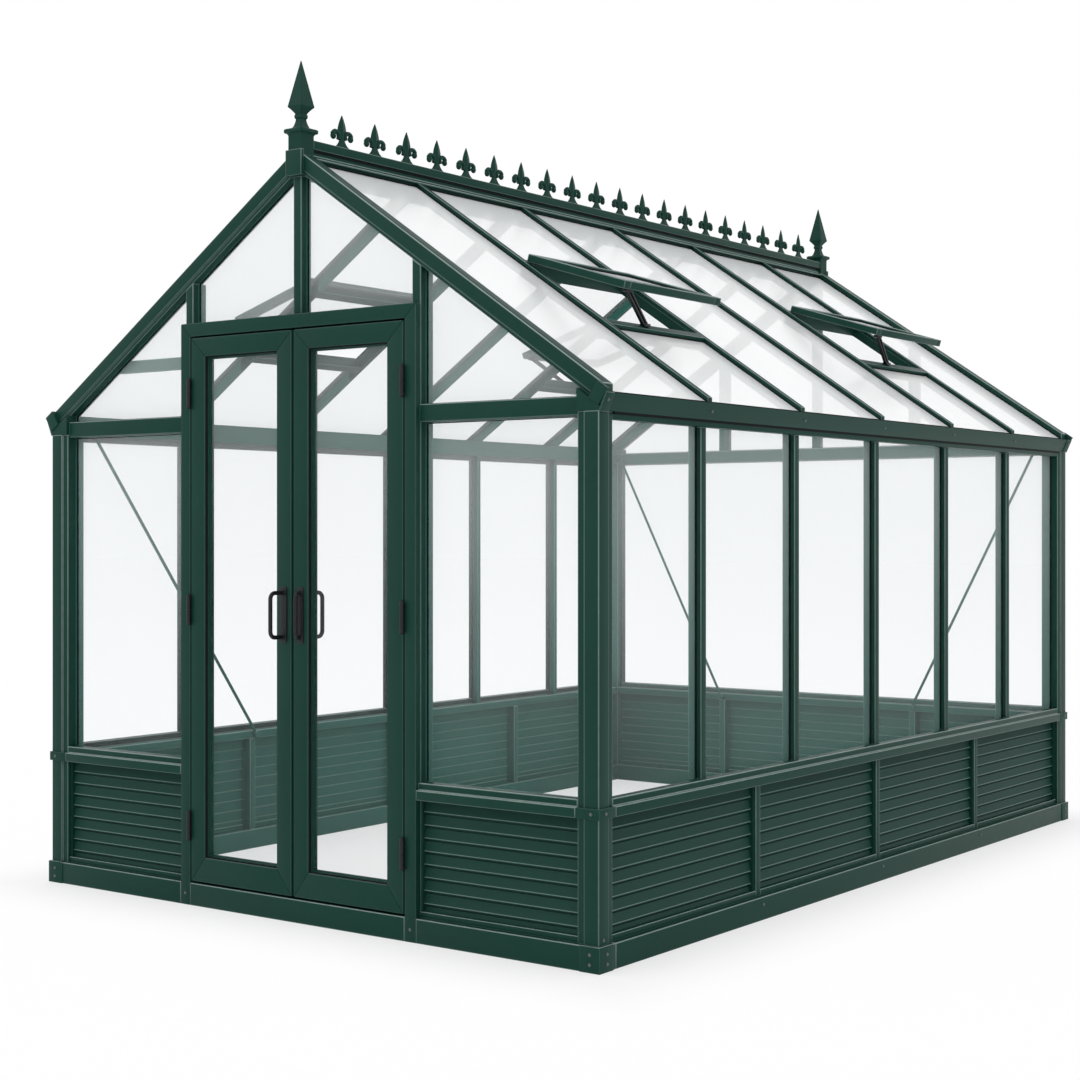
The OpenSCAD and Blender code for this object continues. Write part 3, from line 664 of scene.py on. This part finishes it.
class GREENHOUSE_OT_panels(bpy.types.Operator):
    """Laps the boards of the kick panels and frames each panel"""

    bl_idname = "greenhouse.kick_panels"
    bl_label = "Kick panels"

    def execute(self, context):
        boards = context.scene.greenhouse_sizes.boards
        step = (DADO_LOW.z - BASE_TOP) / boards
        points, turns, spans = [], [], []
        shape = bmesh.new()
        for side, x0, x1, turn in panel_runs():
            start = x0 if turn in (0, 1) else x1
            points += [side(start, 0, BASE_TOP + k * step) for k in range(boards)]
            turns += [(0, 0, turn * math.pi / 2)] * boards
            spans += [(x1 - x0, 1, 1)] * boards
            mitred_frame(
                shape, (x0, BASE_TOP), (x1, DADO_LOW.z),
                ((0, 0.050), (0, 0.021), (0.005, 0.021), (0.006, 0.022), (0.006, 0.050)), side)
            block(shape, side(x0, 0.014, BASE_TOP), side(x1, 0.046, BASE_TOP + 0.020), 0.002)
        build("kick_panel_frames", shape, "green")
        base = point_mesh("board_points", points, turn=turns, span=spans)
        mesh = realise(base, board_graph(), {"Coat": finish("boards")}, board_mesh(step))
        place("lapped_boards", mesh, "boards", replaces=("end_kick_panels", "side_kick_panels"))
        return {"FINISHED"}


def gasket_graph():
    """Runs a flat rubber section along loops of edges."""
    g, entry = geometry_graph("gasket_frames", Width="Float", Height="Float")
    path = g.node("GeometryNodeMeshToCurve", None, {0: entry["Geometry"]})
    path = g.node("GeometryNodeSetCurveNormal", {"mode": "FREE"}, {
        0: path, "Normal": g.vector("facing")})
    section = g.node("GeometryNodeCurvePrimitiveQuadrilateral", None, {
        "Width": entry["Width"], "Height": entry["Height"]})
    return coated(g, entry, g.node("GeometryNodeCurveToMesh", None, {0: path, 1: section}))


def pane_loops(name, inset, lift):
    """Outlines of a glass node's panes, drawn in and lifted off their outer faces."""
    shape = merged(name)
    loops = []
    for face in shape.faces:
        outward = face.calc_center_median() - Vector((0, MID_Y, EAVES_Z / 2))
        if face.calc_area() < 0.02 or face.normal.dot(outward) < 0:
            continue
        corners = [v.co.copy() for v in face.verts]
        drawn = []
        for k, corner in enumerate(corners):
            back = (corners[k - 1] - corner).normalized()
            ahead = (corners[(k + 1) % len(corners)] - corner).normalized()
            sine = max(back.cross(ahead).length, 0.2)
            drawn.append(corner + (back + ahead) * inset / sine + face.normal * lift)
        loops.append((drawn, face.normal.copy()))
    shape.free()
    return loops


class GREENHOUSE_OT_glazing(bpy.types.Operator):
    """Gives the panes their glass and runs a gasket round each of them"""

    bl_idname = "greenhouse.glazing"
    bl_label = "Glazing"

    def execute(self, context):
        sizes = context.scene.greenhouse_sizes
        graph = gasket_graph()
        groups = {
            "frame": ("left_wall_glass", "right_wall_glass", "front_glass", "back_glass",
                      "left_roof_glass", "right_roof_glass", "vent_glass"),
            "left_door": ("left_door_glass",), "right_door": ("right_door_glass",)}
        for body, names in groups.items():
            points, edges, facing = [], [], []
            for name in names:
                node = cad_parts[name]
                node.data.materials.clear()
                node.data.materials.append(finish("glass" if body == "frame" else "door_glass"))
                for loop, normal in pane_loops(name, sizes.gasket_w / 2, sizes.gasket_t / 2):
                    start = len(points)
                    points += loop
                    facing += [normal] * len(loop)
                    edges += [(start + k, start + (k + 1) % len(loop)) for k in range(len(loop))]
            base = point_mesh("gasket_lines", points, edges, facing=facing)
            mesh = realise(base, graph, {
                "Width": sizes.gasket_w, "Height": sizes.gasket_t, "Coat": finish("rubber")})
            place(body + "_gaskets", mesh, "rubber", body)
        return {"FINISHED"}


def spike_mesh(height, thick):
    """One crest spike: flared foot, ridged leaf and petals that end in balls."""
    u = height / 100
    shape = bmesh.new()
    levels = (
        (36, 0, 0.95, 1.0), (35, 2.5, 0.95, 1.0), (26, 6.5, 0.9, 0.95), (19.5, 12, 0.85, 0.86),
        (14, 20, 0.8, 0.76), (11, 27, 0.75, 0.72), (10.8, 32, 0.65, 0.76), (13.6, 40, 0.56, 0.86),
        (17.4, 47, 0.5, 0.96), (18.8, 53, 0.5, 1.0), (18.4, 59, 0.5, 1.0), (16.2, 68, 0.5, 0.92),
        (12.4, 78, 0.5, 0.78), (7.6, 88, 0.5, 0.58), (3.4, 95.5, 0.5, 0.36), (0.8, 99.6, 0.5, 0.15))
    rings = []
    for half, z, corner, share in levels:
        w, t = half * u, thick / 2 * share
        rings.append([Vector((x, y, z * u)) for x, y in (
            (0, w), (-t * corner, w * corner), (-t, 0), (-t * corner, -w * corner),
            (0, -w), (t * corner, -w * corner), (t, 0), (t * corner, w * corner))])
    loft(shape, rings)
    for side in (-1, 1):
        path = [
            Vector((0, side * (27 - 14 * math.cos(a)) * u, (36 + 14 * math.sin(a)) * u))
            for a in (math.radians(-35 + k * 22) for k in range(10))]
        tube(shape, path, 6.6 * u, 8)
        ball = Matrix.Translation((0, side * 37 * u, 35 * u)) @ Matrix.Diagonal((0.72, 1, 1, 1))
        lathe(shape, [
            (max(0.02, math.sin(a)) * 10.4 * u, -math.cos(a) * 10.4 * u)
            for a in (k * math.pi / 7 for k in range(8))], ball, 12)
    return mesh_from("crest_spike", turned_out(shape), 35)


def crest_graph():
    """Repeats one spike along a straight line."""
    g, entry = geometry_graph(
        "crest_row", Unit="Object", Count="Int", Start="Vector", Step="Vector")
    line = g.node("GeometryNodeMeshLine", {"mode": "OFFSET"}, {
        "Count": entry["Count"], "Start Location": entry["Start"], "Offset": entry["Step"]})
    return copies(g, entry, line)


class GREENHOUSE_OT_crest(bpy.types.Operator):
    """Stands the row of crest spikes on the ridge"""

    bl_idname = "greenhouse.ridge_crest"
    bl_label = "Ridge crest"

    def execute(self, context):
        sizes = context.scene.greenhouse_sizes
        low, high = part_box("ridge_cresting")
        beam_low, beam_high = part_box("ridge_beam")
        step = (beam_high.y - beam_low.y) / (sizes.spikes + 1)
        spike = spike_mesh(sizes.spike_h, high.x - low.x)
        mesh = realise(bpy.data.meshes.new("crest_line"), crest_graph(), {
            "Count": sizes.spikes, "Start": (0, beam_low.y + step, low.z),
            "Step": (0, step, 0), "Coat": finish("green")}, spike)
        place("ridge_crest", mesh, "green", replaces=("ridge_cresting",))
        return {"FINISHED"}


class GREENHOUSE_OT_finials(bpy.types.Operator):
    """Turns up the moulded square finials at both ends of the ridge"""

    bl_idname = "greenhouse.finials"
    bl_label = "Finials"

    def execute(self, context):
        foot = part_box("finials")[0].z
        moulding = (
            (30.5, 0, 2), (30.5, 134, 2), (31.5, 137, 2), (35, 141, 3), (40.5, 142.5, 5),
            (42.6, 145, 6), (43, 148, 6), (43, 151, 6), (42, 154, 6), (39, 156, 6),
            (27, 157, 4), (23.5, 159, 3), (20.2, 164, 3), (17, 172, 2.5), (14.4, 181, 2),
            (13.2, 188, 2), (13.4, 191, 2), (16, 193, 2.5), (17, 196, 3), (17, 202, 3),
            (15.8, 205, 2.5), (14.2, 206.5, 2), (15.2, 209, 2), (20, 216, 2), (27, 225, 2),
            (31.4, 229, 2), (32, 231, 2), (31.6, 233.5, 2), (1.4, 382, 0.3), (0.7, 384, 0.2))
        shape = bmesh.new()
        for axis_y, out in ((FRONT_Y + 0.0355, -1), (BACK_Y - 0.0355, 1)):
            rings = []
            for half, z, cut in moulding:
                h, c = half / 1000, cut / 1000
                rings.append([Vector((x, axis_y + y, foot + z / 1000)) for x, y in (
                    (h, c - h), (h, h - c), (h - c, h), (c - h, h),
                    (-h, h - c), (-h, c - h), (c - h, -h), (h - c, -h))])
            loft(shape, rings)
            block(shape, (-0.0355, axis_y + out * 0.0375, foot),
                  (0.0355, axis_y + out * 0.0235, foot + 0.086), 0.002)
        build("finials_moulded", shape, "green", replaces=("finials",), smooth=25)
        return {"FINISHED"}


def gutter_normal(side):
    """The way that the sloping face of a gutter faces."""
    return Vector((side * 0.052, 0, -0.023)).normalized()


def gutter_point(side, share, lift, y):
    """A place on a gutter's face: its share of the height, and how far it is lifted."""
    foot = Vector((side * (HALF_W + 0.002), y, EAVES_Z))
    return foot + Vector((side * 0.023, 0, 0.052)) * share + gutter_normal(side) * lift


class GREENHOUSE_OT_trims(bpy.types.Operator):
    """Adds the rubber seal strips of mullions and ridge, a black strip under each gutter that is a
    painted shadow, and the gutters' end brackets
    """

    bl_idname = "greenhouse.trims"
    bl_label = "Seals and brackets"

    def execute(self, context):
        seals_and_shadow_strip = bmesh.new()
        for k in range(1, BAYS):
            line = k * BAY - BAY * BAYS / 2
            for side in (on_left, on_right):
                for end in (-1, 1):
                    block(seals_and_shadow_strip, side(line + end * (MULLION_HALF - 0.001), 0.034, DADO_HIGH.z),
                          side(line + end * (MULLION_HALF + 0.0025), 0.041, EAVES_Z - 0.022), 0.001)
        low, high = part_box("ridge_beam")
        plates = bmesh.new()
        for sign in (-1, 1):
            block(seals_and_shadow_strip, (sign * 0.019, low.y + 0.001, high.z - 0.038),
                  (sign * 0.0235, high.y - 0.001, high.z - 0.0298), 0.001)
            # A black strip under each gutter: painted shadow of the gutter
            block(seals_and_shadow_strip, (sign * (HALF_W - 0.030), FRONT_Y + POST_W, EAVES_Z - 0.007),
                  (sign * (HALF_W + 0.0015), BACK_Y - POST_W, EAVES_Z + 0.001), 0.001)
            for ends in ((FRONT_Y - 0.001, FRONT_Y + 0.044), (BACK_Y - 0.044, BACK_Y + 0.001)):
                loft(plates, [
                    [gutter_point(sign, share, lift, y) for share, lift in (
                        (-0.02, -0.001), (-0.02, 0.003), (1.02, 0.003), (1.02, -0.001))]
                    for y in ends])
        build("frame_seals", seals_and_shadow_strip, "rubber")
        ease(turned_out(plates), 0.001)
        build("gutter_end_brackets", plates, "green")
        return {"FINISHED"}


def bolt_graph():
    """Sets a turned bolt head on each point, along the point's facing."""
    g, entry = geometry_graph("bolt_heads", Unit="Object", Size="Float")
    turn = g.node("FunctionNodeAlignRotationToVector", {"axis": "Z"}, {
        "Vector": g.vector("facing")})
    return copies(g, entry, entry["Geometry"], Rotation=turn, Scale=entry["Size"])


def bolt_places():
    """Where bolts show on the frame, with the way that each of them faces."""
    found = []
    plate = FACE_OUT + 0.003
    for sx in (-1, 1):
        aside = (sx, 0, 0)
        for y, sy in ((FRONT_Y, -1), (BACK_Y, 1)):
            for z in (0.053, 0.024):
                found.append(((sx * (HALF_W - 0.026), y + sy * plate, z), (0, sy, 0)))
                found.append(((sx * (HALF_W + plate), y - sy * 0.030, z), aside))
            found.append(((sx * (HALF_W - 0.024), y + sy * FACE_OUT, DADO_Z), (0, sy, 0)))
            found.append(((sx * (HALF_W + FACE_OUT), y - sy * 0.028, DADO_Z), aside))
            found.append(((sx * HALF_W, y - sy * 0.024, BASE_TOP + 0.016), aside))
        found.append(((sx * (DOOR_X - DOOR_FRAME_W / 2), FACE_Y, 0.040), (0, -1, 0)))
        for k in (-1, 0, 1):
            found.append(((sx * (HALF_W + FACE_OUT), MID_Y + k * DIVIDER_STEP, 0.052), aside))
        slant = gutter_normal(sx)
        for k in range(1, BAYS):
            found.append((gutter_point(sx, 0.5, 0, FRONT_Y + k * BAY), slant))
        for y in (FRONT_Y + 0.022, BACK_Y - 0.022):
            found.append((gutter_point(sx, 0.62, 0.003, y), slant))
    return found


class GREENHOUSE_OT_bolts(bpy.types.Operator):
    """Sets bolt heads on the corner plates, the dado and the door frame"""

    bl_idname = "greenhouse.bolt_heads"
    bl_label = "Bolt heads"

    def execute(self, context):
        shape = bmesh.new()
        lathe(shape, (
            (1.0, -0.05), (1.0, 0.12), (0.94, 0.18), (0.80, 0.19), (0.78, 0.34), (0.66, 0.52),
            (0.42, 0.62), (0.05, 0.65)), Matrix.Identity(4), 14)
        head = mesh_from("bolt_head", turned_out(shape), 30)
        places, facing = zip(*bolt_places())
        base = point_mesh("bolt_points", places, facing=facing)
        mesh = realise(base, bolt_graph(), {
            "Size": context.scene.greenhouse_sizes.bolt_r, "Coat": finish("zinc")}, head)
        place("bolt_heads", mesh, "zinc")
        return {"FINISHED"}


class GREENHOUSE_OT_doors(bpy.types.Operator):
    """Coats the door leaves and gives them glazing beads, stops and a seal"""

    bl_idname = "greenhouse.door_leaves"
    bl_label = "Door leaves"

    def execute(self, context):
        sizes = context.scene.greenhouse_sizes
        for body, sign in LEAVES:
            dress((body + "_stiles", body + "_rails"), "green", sizes.edge, body, True)
            low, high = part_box(body + "_glass")
            beads, glazing, meeting = bmesh.new(), bmesh.new(), bmesh.new()
            for shape, section in (
                    (beads, OUTER_BEAD), (beads, INNER_BEAD), (glazing, GLAZING_SEAL)):
                mitred_frame(shape, (low.x, low.z), (high.x, high.z), section, on_leaf)
            low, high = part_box(body + "_stiles")
            block(meeting, (sign * 0.0004, FRONT_Y + 0.012, low.z + 0.002),
                  (sign * 0.0055, FRONT_Y + 0.020, high.z - 0.002), 0.001)
            build(body + "_beads", beads, "green", body)
            build(body + "_glazing_seal", glazing, "rubber", body)
            build(body + "_meeting_seal", meeting, "rubber", body)
        stops = bmesh.new()
        post_in = DOOR_X - GABLE_POST_W
        mitred_frame(
            stops, (-post_in, BASE_TOP), (post_in, HEAD_TOP - DOOR_FRAME_W),
            ((-0.001, 0.037), (0.024, 0.037), (0.026, 0.039), (0.026, 0.046), (-0.001, 0.046)),
            on_front)
        build("door_stops", stops, "rubber")
        return {"FINISHED"}


class GREENHOUSE_OT_hinges(bpy.types.Operator):
    """Makes the round-ended hinge barrels, half on the jambs and half on the leaves"""

    bl_idname = "greenhouse.door_hinges"
    bl_label = "Door hinges"

    def execute(self, context):
        low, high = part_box("left_door_hinges")
        axis_x = DOOR_X - DOOR_FRAME_W - 0.003
        axis_y = FACE_Y - 0.009
        r = context.scene.greenhouse_sizes.knuckle_r
        dome = ((r, 0.0), (r * 0.92, 0.0022), (r * 0.70, 0.0040), (r * 0.35, 0.0052), (0.0004, 0.0056))
        half = HINGE_H / 2
        lower = [(q, 0.003 - half - h) for q, h in reversed(dome)] + [(r, -0.0012), (r * 0.9, -0.0002)]
        upper = [(r * 0.9, 0.0002), (r, 0.0012)] + [(q, half - 0.003 + h) for q, h in dome]
        fixed = bmesh.new()
        for body, sign in LEAVES:
            moving = bmesh.new()
            for z in (low.z + half, (low.z + high.z) / 2, high.z - half):
                centre = Matrix.Translation((sign * axis_x, axis_y, z))
                for shape, barrel, side in ((fixed, lower, 1), (moving, upper, -1)):
                    lathe(shape, barrel, centre, 20)
                    block(shape, (sign * (axis_x + side * 0.001), FACE_Y, z - half),
                          (sign * (axis_x + side * 0.003), FACE_Y + 0.024, z + half), 0.0004)
            build(body + "_hinge_barrels", moving, "black", body, (body + "_hinges",), 30)
        build("jamb_hinge_barrels", fixed, "black", replaces=("door_hinge_pins",), smooth=30)
        return {"FINISHED"}


def bow_path(reach, half, bend):
    """Line of a bow handle in depth and height, with rounded corners."""
    path = [(0.0, -half), (reach - bend, -half)]
    path += [(reach - bend + bend * math.sin(a), -half + bend - bend * math.cos(a))
             for a in (k * math.pi / 12 for k in range(1, 7))]
    path += [(reach - bend + bend * math.cos(a), half - bend + bend * math.sin(a))
             for a in (k * math.pi / 12 for k in range(0, 7))]
    path += [(0.0, half)]
    return path


def plate_outline(half_w, half_h, corner, steps=5):
    """Outline of an upright plate with round corners."""
    points = []
    for cx, cz, start in ((1, 1, 0), (-1, 1, 90), (-1, -1, 180), (1, -1, 270)):
        for k in range(steps + 1):
            a = math.radians(start + 90 * k / steps)
            points.append((cx * (half_w - corner) + corner * math.cos(a),
                           cz * (half_h - corner) + corner * math.sin(a)))
    return points


def stood_off(x, y, z, out):
    """A matrix at a place on a leaf's face, with its z axis out of that face."""
    return Matrix.Translation((x, y, z)) @ Matrix.Rotation(-out * math.pi / 2, 4, "X")


class GREENHOUSE_OT_handles(bpy.types.Operator):
    """Makes the black bow handles on their plates, on both faces of the leaves"""

    bl_idname = "greenhouse.door_handles"
    bl_label = "Door handles"

    def execute(self, context):
        r = context.scene.greenhouse_sizes.bow_r
        collar = ((0.0108, 0.0), (0.0108, 0.006), (0.0098, 0.0075), (r * 0.9, 0.0082))
        screw = ((0.0042, -0.0005), (0.0042, 0.0006), (0.0030, 0.0014), (0.0004, 0.0017))
        inner_y = FACE_Y + LEAF_T
        for body, _ in LEAVES:
            low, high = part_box(body + "_handles")
            x, z = (low.x + high.x) / 2, (low.z + high.z) / 2
            outline = plate_outline((high.x - low.x) / 2, (high.z - low.z) / 2, 0.011)
            shape = bmesh.new()
            for face_y, out, reach in ((FACE_Y, -1, FACE_Y - low.y), (inner_y, 1, high.y - inner_y)):
                loft(shape, [
                    [Vector((x + u * grow, face_y + out * t, z + v * grow)) for u, v in outline]
                    for t, grow in ((0, 1), (0.0028, 1), (0.0038, 0.985), (0.004, 0.96))])
                bend = min(0.020, (reach - r) * 0.6)
                path = [Vector((x, face_y + out * d, z + h))
                        for d, h in bow_path(reach - r, BOW_HALF, bend)]
                tube(shape, path, r, 14)
                for end in (-1, 1):
                    lathe(shape, collar, stood_off(x, face_y, z + end * BOW_HALF, out), 18)
                    lathe(shape, screw,
                          stood_off(x, face_y + out * 0.004, z + end * SCREW_HALF, out), 12)
            build(body + "_bow_handles", shape, "black", body, (body + "_handles",), 35)
        return {"FINISHED"}


def slope_point(side, bay, share, run, lift, tilt=PITCH, start=(RIDGE_X, RIDGE_Z)):
    """A place in a vent's bay: its share of the width, down a slope from its start, over it."""
    x = start[0] + run * math.cos(tilt) + lift * math.sin(tilt)
    z = start[1] - run * math.sin(tilt) + lift * math.cos(tilt)
    return Vector((side * x, FRONT_Y + (bay + 0.5) * BAY + (share - 0.5) * SASH_W, z))


def sash_point(side, bay, share, run, lift):
    """A place in an open vent sash: its share of the width, down its length, over its underside."""
    hinge = slope_point(1, bay, share, VENT_RUN, SASH_LIFT)
    return slope_point(side, bay, share, run, lift, VENT_TILT, (hinge.x, hinge.z))


def strut(shape, start, end, across, width, thick):
    """A flat bar between two points, with its width along a given direction."""
    ahead = (end - start).normalized()
    wide = (across - ahead * across.dot(ahead)).normalized() * width / 2
    deep = ahead.cross(wide).normalized() * thick / 2
    loft(shape, [[p + wide + deep, p - wide + deep, p - wide - deep, p + wide - deep]
                 for p in (start, end)])


class GREENHOUSE_OT_vents(bpy.types.Operator):
    """Makes the vents' paired stay bars with their feet, and the vents' hinges"""

    bl_idname = "greenhouse.vent_stays"
    bl_label = "Vent stays and hinges"

    def execute(self, context):
        stays, hinges = bmesh.new(), bmesh.new()
        barrel = (
            (0.0005, -0.042), (0.0055, -0.041), (0.0055, -0.001), (0.0046, 0.0),
            (0.0055, 0.001), (0.0055, 0.041), (0.0005, 0.042))
        for side in (-1, 1):
            for bay in VENT_BAYS:
                for gap in (-0.011, 0.011):
                    shift = Vector((0, gap, 0))
                    strut(stays, slope_point(side, bay, 0.38, 0.964, 0.018) + shift,
                          sash_point(side, bay, 0.08, 0.397, -0.002) + shift,
                          Vector((side, 0, 0)), 0.012, 0.006)
                foot = slope_point(side, bay, 0.38, 0.964, 0.016)
                head = sash_point(side, bay, 0.08, 0.397, 0.0)
                for spot, down in ((foot, 0.0), (head, -0.010)):
                    block(stays, spot + Vector((-0.011, -0.018, down)),
                          spot + Vector((0.011, 0.018, down + 0.010)), 0.0015)
                for share in (0.14, 0.86):
                    middle = sash_point(side, bay, share, -0.004, 0.010)
                    lathe(hinges, barrel, stood_off(*middle, -1), 14)
        build("vent_stay_bars", stays, "black", replaces=("vent_stays",))
        build("vent_hinges", hinges, "black", smooth=35)
        return {"FINISHED"}


def seen_rays(g):
    """1 for rays of the camera, and for those that metal and glass send on."""
    camera, glossy, through = g.outs(
        "ShaderNodeLightPath", {}, "Is Camera Ray", "Is Glossy Ray", "Is Transmission Ray")
    return camera + glossy + through


class GREENHOUSE_OT_stage(bpy.types.Operator):
    """Lays the pale floor, sets the soft light and stands the camera"""

    bl_idname = "greenhouse.stage"
    bl_label = "Stage"

    def execute(self, context):
        scene = context.scene
        scene.view_settings.view_transform = "Standard"
        self.floor(scene.greenhouse_colours.floor)
        self.light(scene)
        camera = linked("camera", bpy.data.cameras.new("camera"))
        camera.data.sensor_width = 36.0
        camera.data.lens = 62.85
        camera.data.shift_y = -0.009
        camera.data.clip_end = 200.0
        camera.location = (4.3378, MID_Y - 6.3334, 1.2888)
        camera.rotation_euler = (math.pi / 2, 0, math.radians(36.48))
        scene.camera = camera
        return {"FINISHED"}

    def floor(self, colour):
        """A wide floor that is white away from the building and takes its shadow near it."""
        shape = bmesh.new()
        bmesh.ops.create_grid(shape, x_segments=8, y_segments=8, size=60.0)
        ground = linked("floor", mesh_from("floor", shape))
        made, g = material_graph("pale_floor")
        where = g.node("ShaderNodeTexCoord", out="Object")
        speck = g.noise(where, 60.0, 2.0)
        x, y = g.outs("ShaderNodeSeparateXYZ", {0: where}, "X", "Y")
        inside = (HALF_W - abs(x)).least(HALF_L - abs(y - MID_Y))
        far = g.remap(inside, -0.45, 0.1, 0.97, 0.55, "SMOOTHSTEP")
        matt = g.node("ShaderNodeBsdfPrincipled", None, {
            "Base Color": rgba(colour), "Roughness": 0.75 + speck * 0.1})
        white = g.node("ShaderNodeEmission", None, {"Color": (1, 1, 1, 1), "Strength": 1.0})
        surfaced(made, g, "ShaderNodeMixShader", {0: far * seen_rays(g), 1: matt, 2: white})
        ground.data.materials.append(made)

    def light(self, scene):
        """An even white room and one large soft lamp."""
        world = bpy.data.worlds.new("soft_room")
        world.use_nodes = True
        world.node_tree.nodes.clear()
        g = Graph(world.node_tree)
        room = g.node("ShaderNodeBackground", None, {"Color": (1, 1, 1, 1), "Strength": 1.0})
        g.node("ShaderNodeOutputWorld", None, {"Surface": room})
        scene.world = world
        key = linked("key", bpy.data.lights.new("key", "AREA"))
        key.data.size = 6.0
        key.data.energy = 60.0
        key.location = (-2.5, -7.0, 6.5)
        key.rotation_euler = (Vector((0, 0, 1.2)) - key.location).to_track_quat("-Z", "Y").to_euler()


OPERATORS = (
    GREENHOUSE_OT_stage, GREENHOUSE_OT_frame, GREENHOUSE_OT_panels, GREENHOUSE_OT_glazing,
    GREENHOUSE_OT_crest, GREENHOUSE_OT_finials, GREENHOUSE_OT_vents, GREENHOUSE_OT_doors,
    GREENHOUSE_OT_hinges, GREENHOUSE_OT_handles, GREENHOUSE_OT_trims, GREENHOUSE_OT_bolts)


class GREENHOUSE_PT_dresser(bpy.types.Panel):
    """Lists the greenhouse's pieces and their sizes and colours"""

    bl_label = "Greenhouse"
    bl_idname = "GREENHOUSE_PT_dresser"
    bl_space_type = "VIEW_3D"
    bl_region_type = "UI"
    bl_category = "Greenhouse"

    def draw(self, context):
        for group in (context.scene.greenhouse_sizes, context.scene.greenhouse_colours):
            for name in group.__annotations__:
                self.layout.prop(group, name)
        for operator in OPERATORS:
            self.layout.operator(operator.bl_idname)


CLASSES = (GreenhouseSizes, GreenhouseColours, *OPERATORS, GREENHOUSE_PT_dresser)


def register():
    for made in CLASSES:
        bpy.utils.register_class(made)
    bpy.types.Scene.greenhouse_sizes = PointerProperty(type=GreenhouseSizes)
    bpy.types.Scene.greenhouse_colours = PointerProperty(type=GreenhouseColours)


def unregister():
    del bpy.types.Scene.greenhouse_colours
    del bpy.types.Scene.greenhouse_sizes
    for made in reversed(CLASSES):
        bpy.utils.unregister_class(made)


def main():
    register()
    bpy.ops.greenhouse.stage()
    bpy.ops.greenhouse.coated_frame()
    bpy.ops.greenhouse.kick_panels()
    bpy.ops.greenhouse.glazing()
    bpy.ops.greenhouse.ridge_crest()
    bpy.ops.greenhouse.finials()
    bpy.ops.greenhouse.vent_stays()
    bpy.ops.greenhouse.door_leaves()
    bpy.ops.greenhouse.door_hinges()
    bpy.ops.greenhouse.door_handles()
    bpy.ops.greenhouse.trims()
    bpy.ops.greenhouse.bolt_heads()


if __name__ == "__main__":
    main()
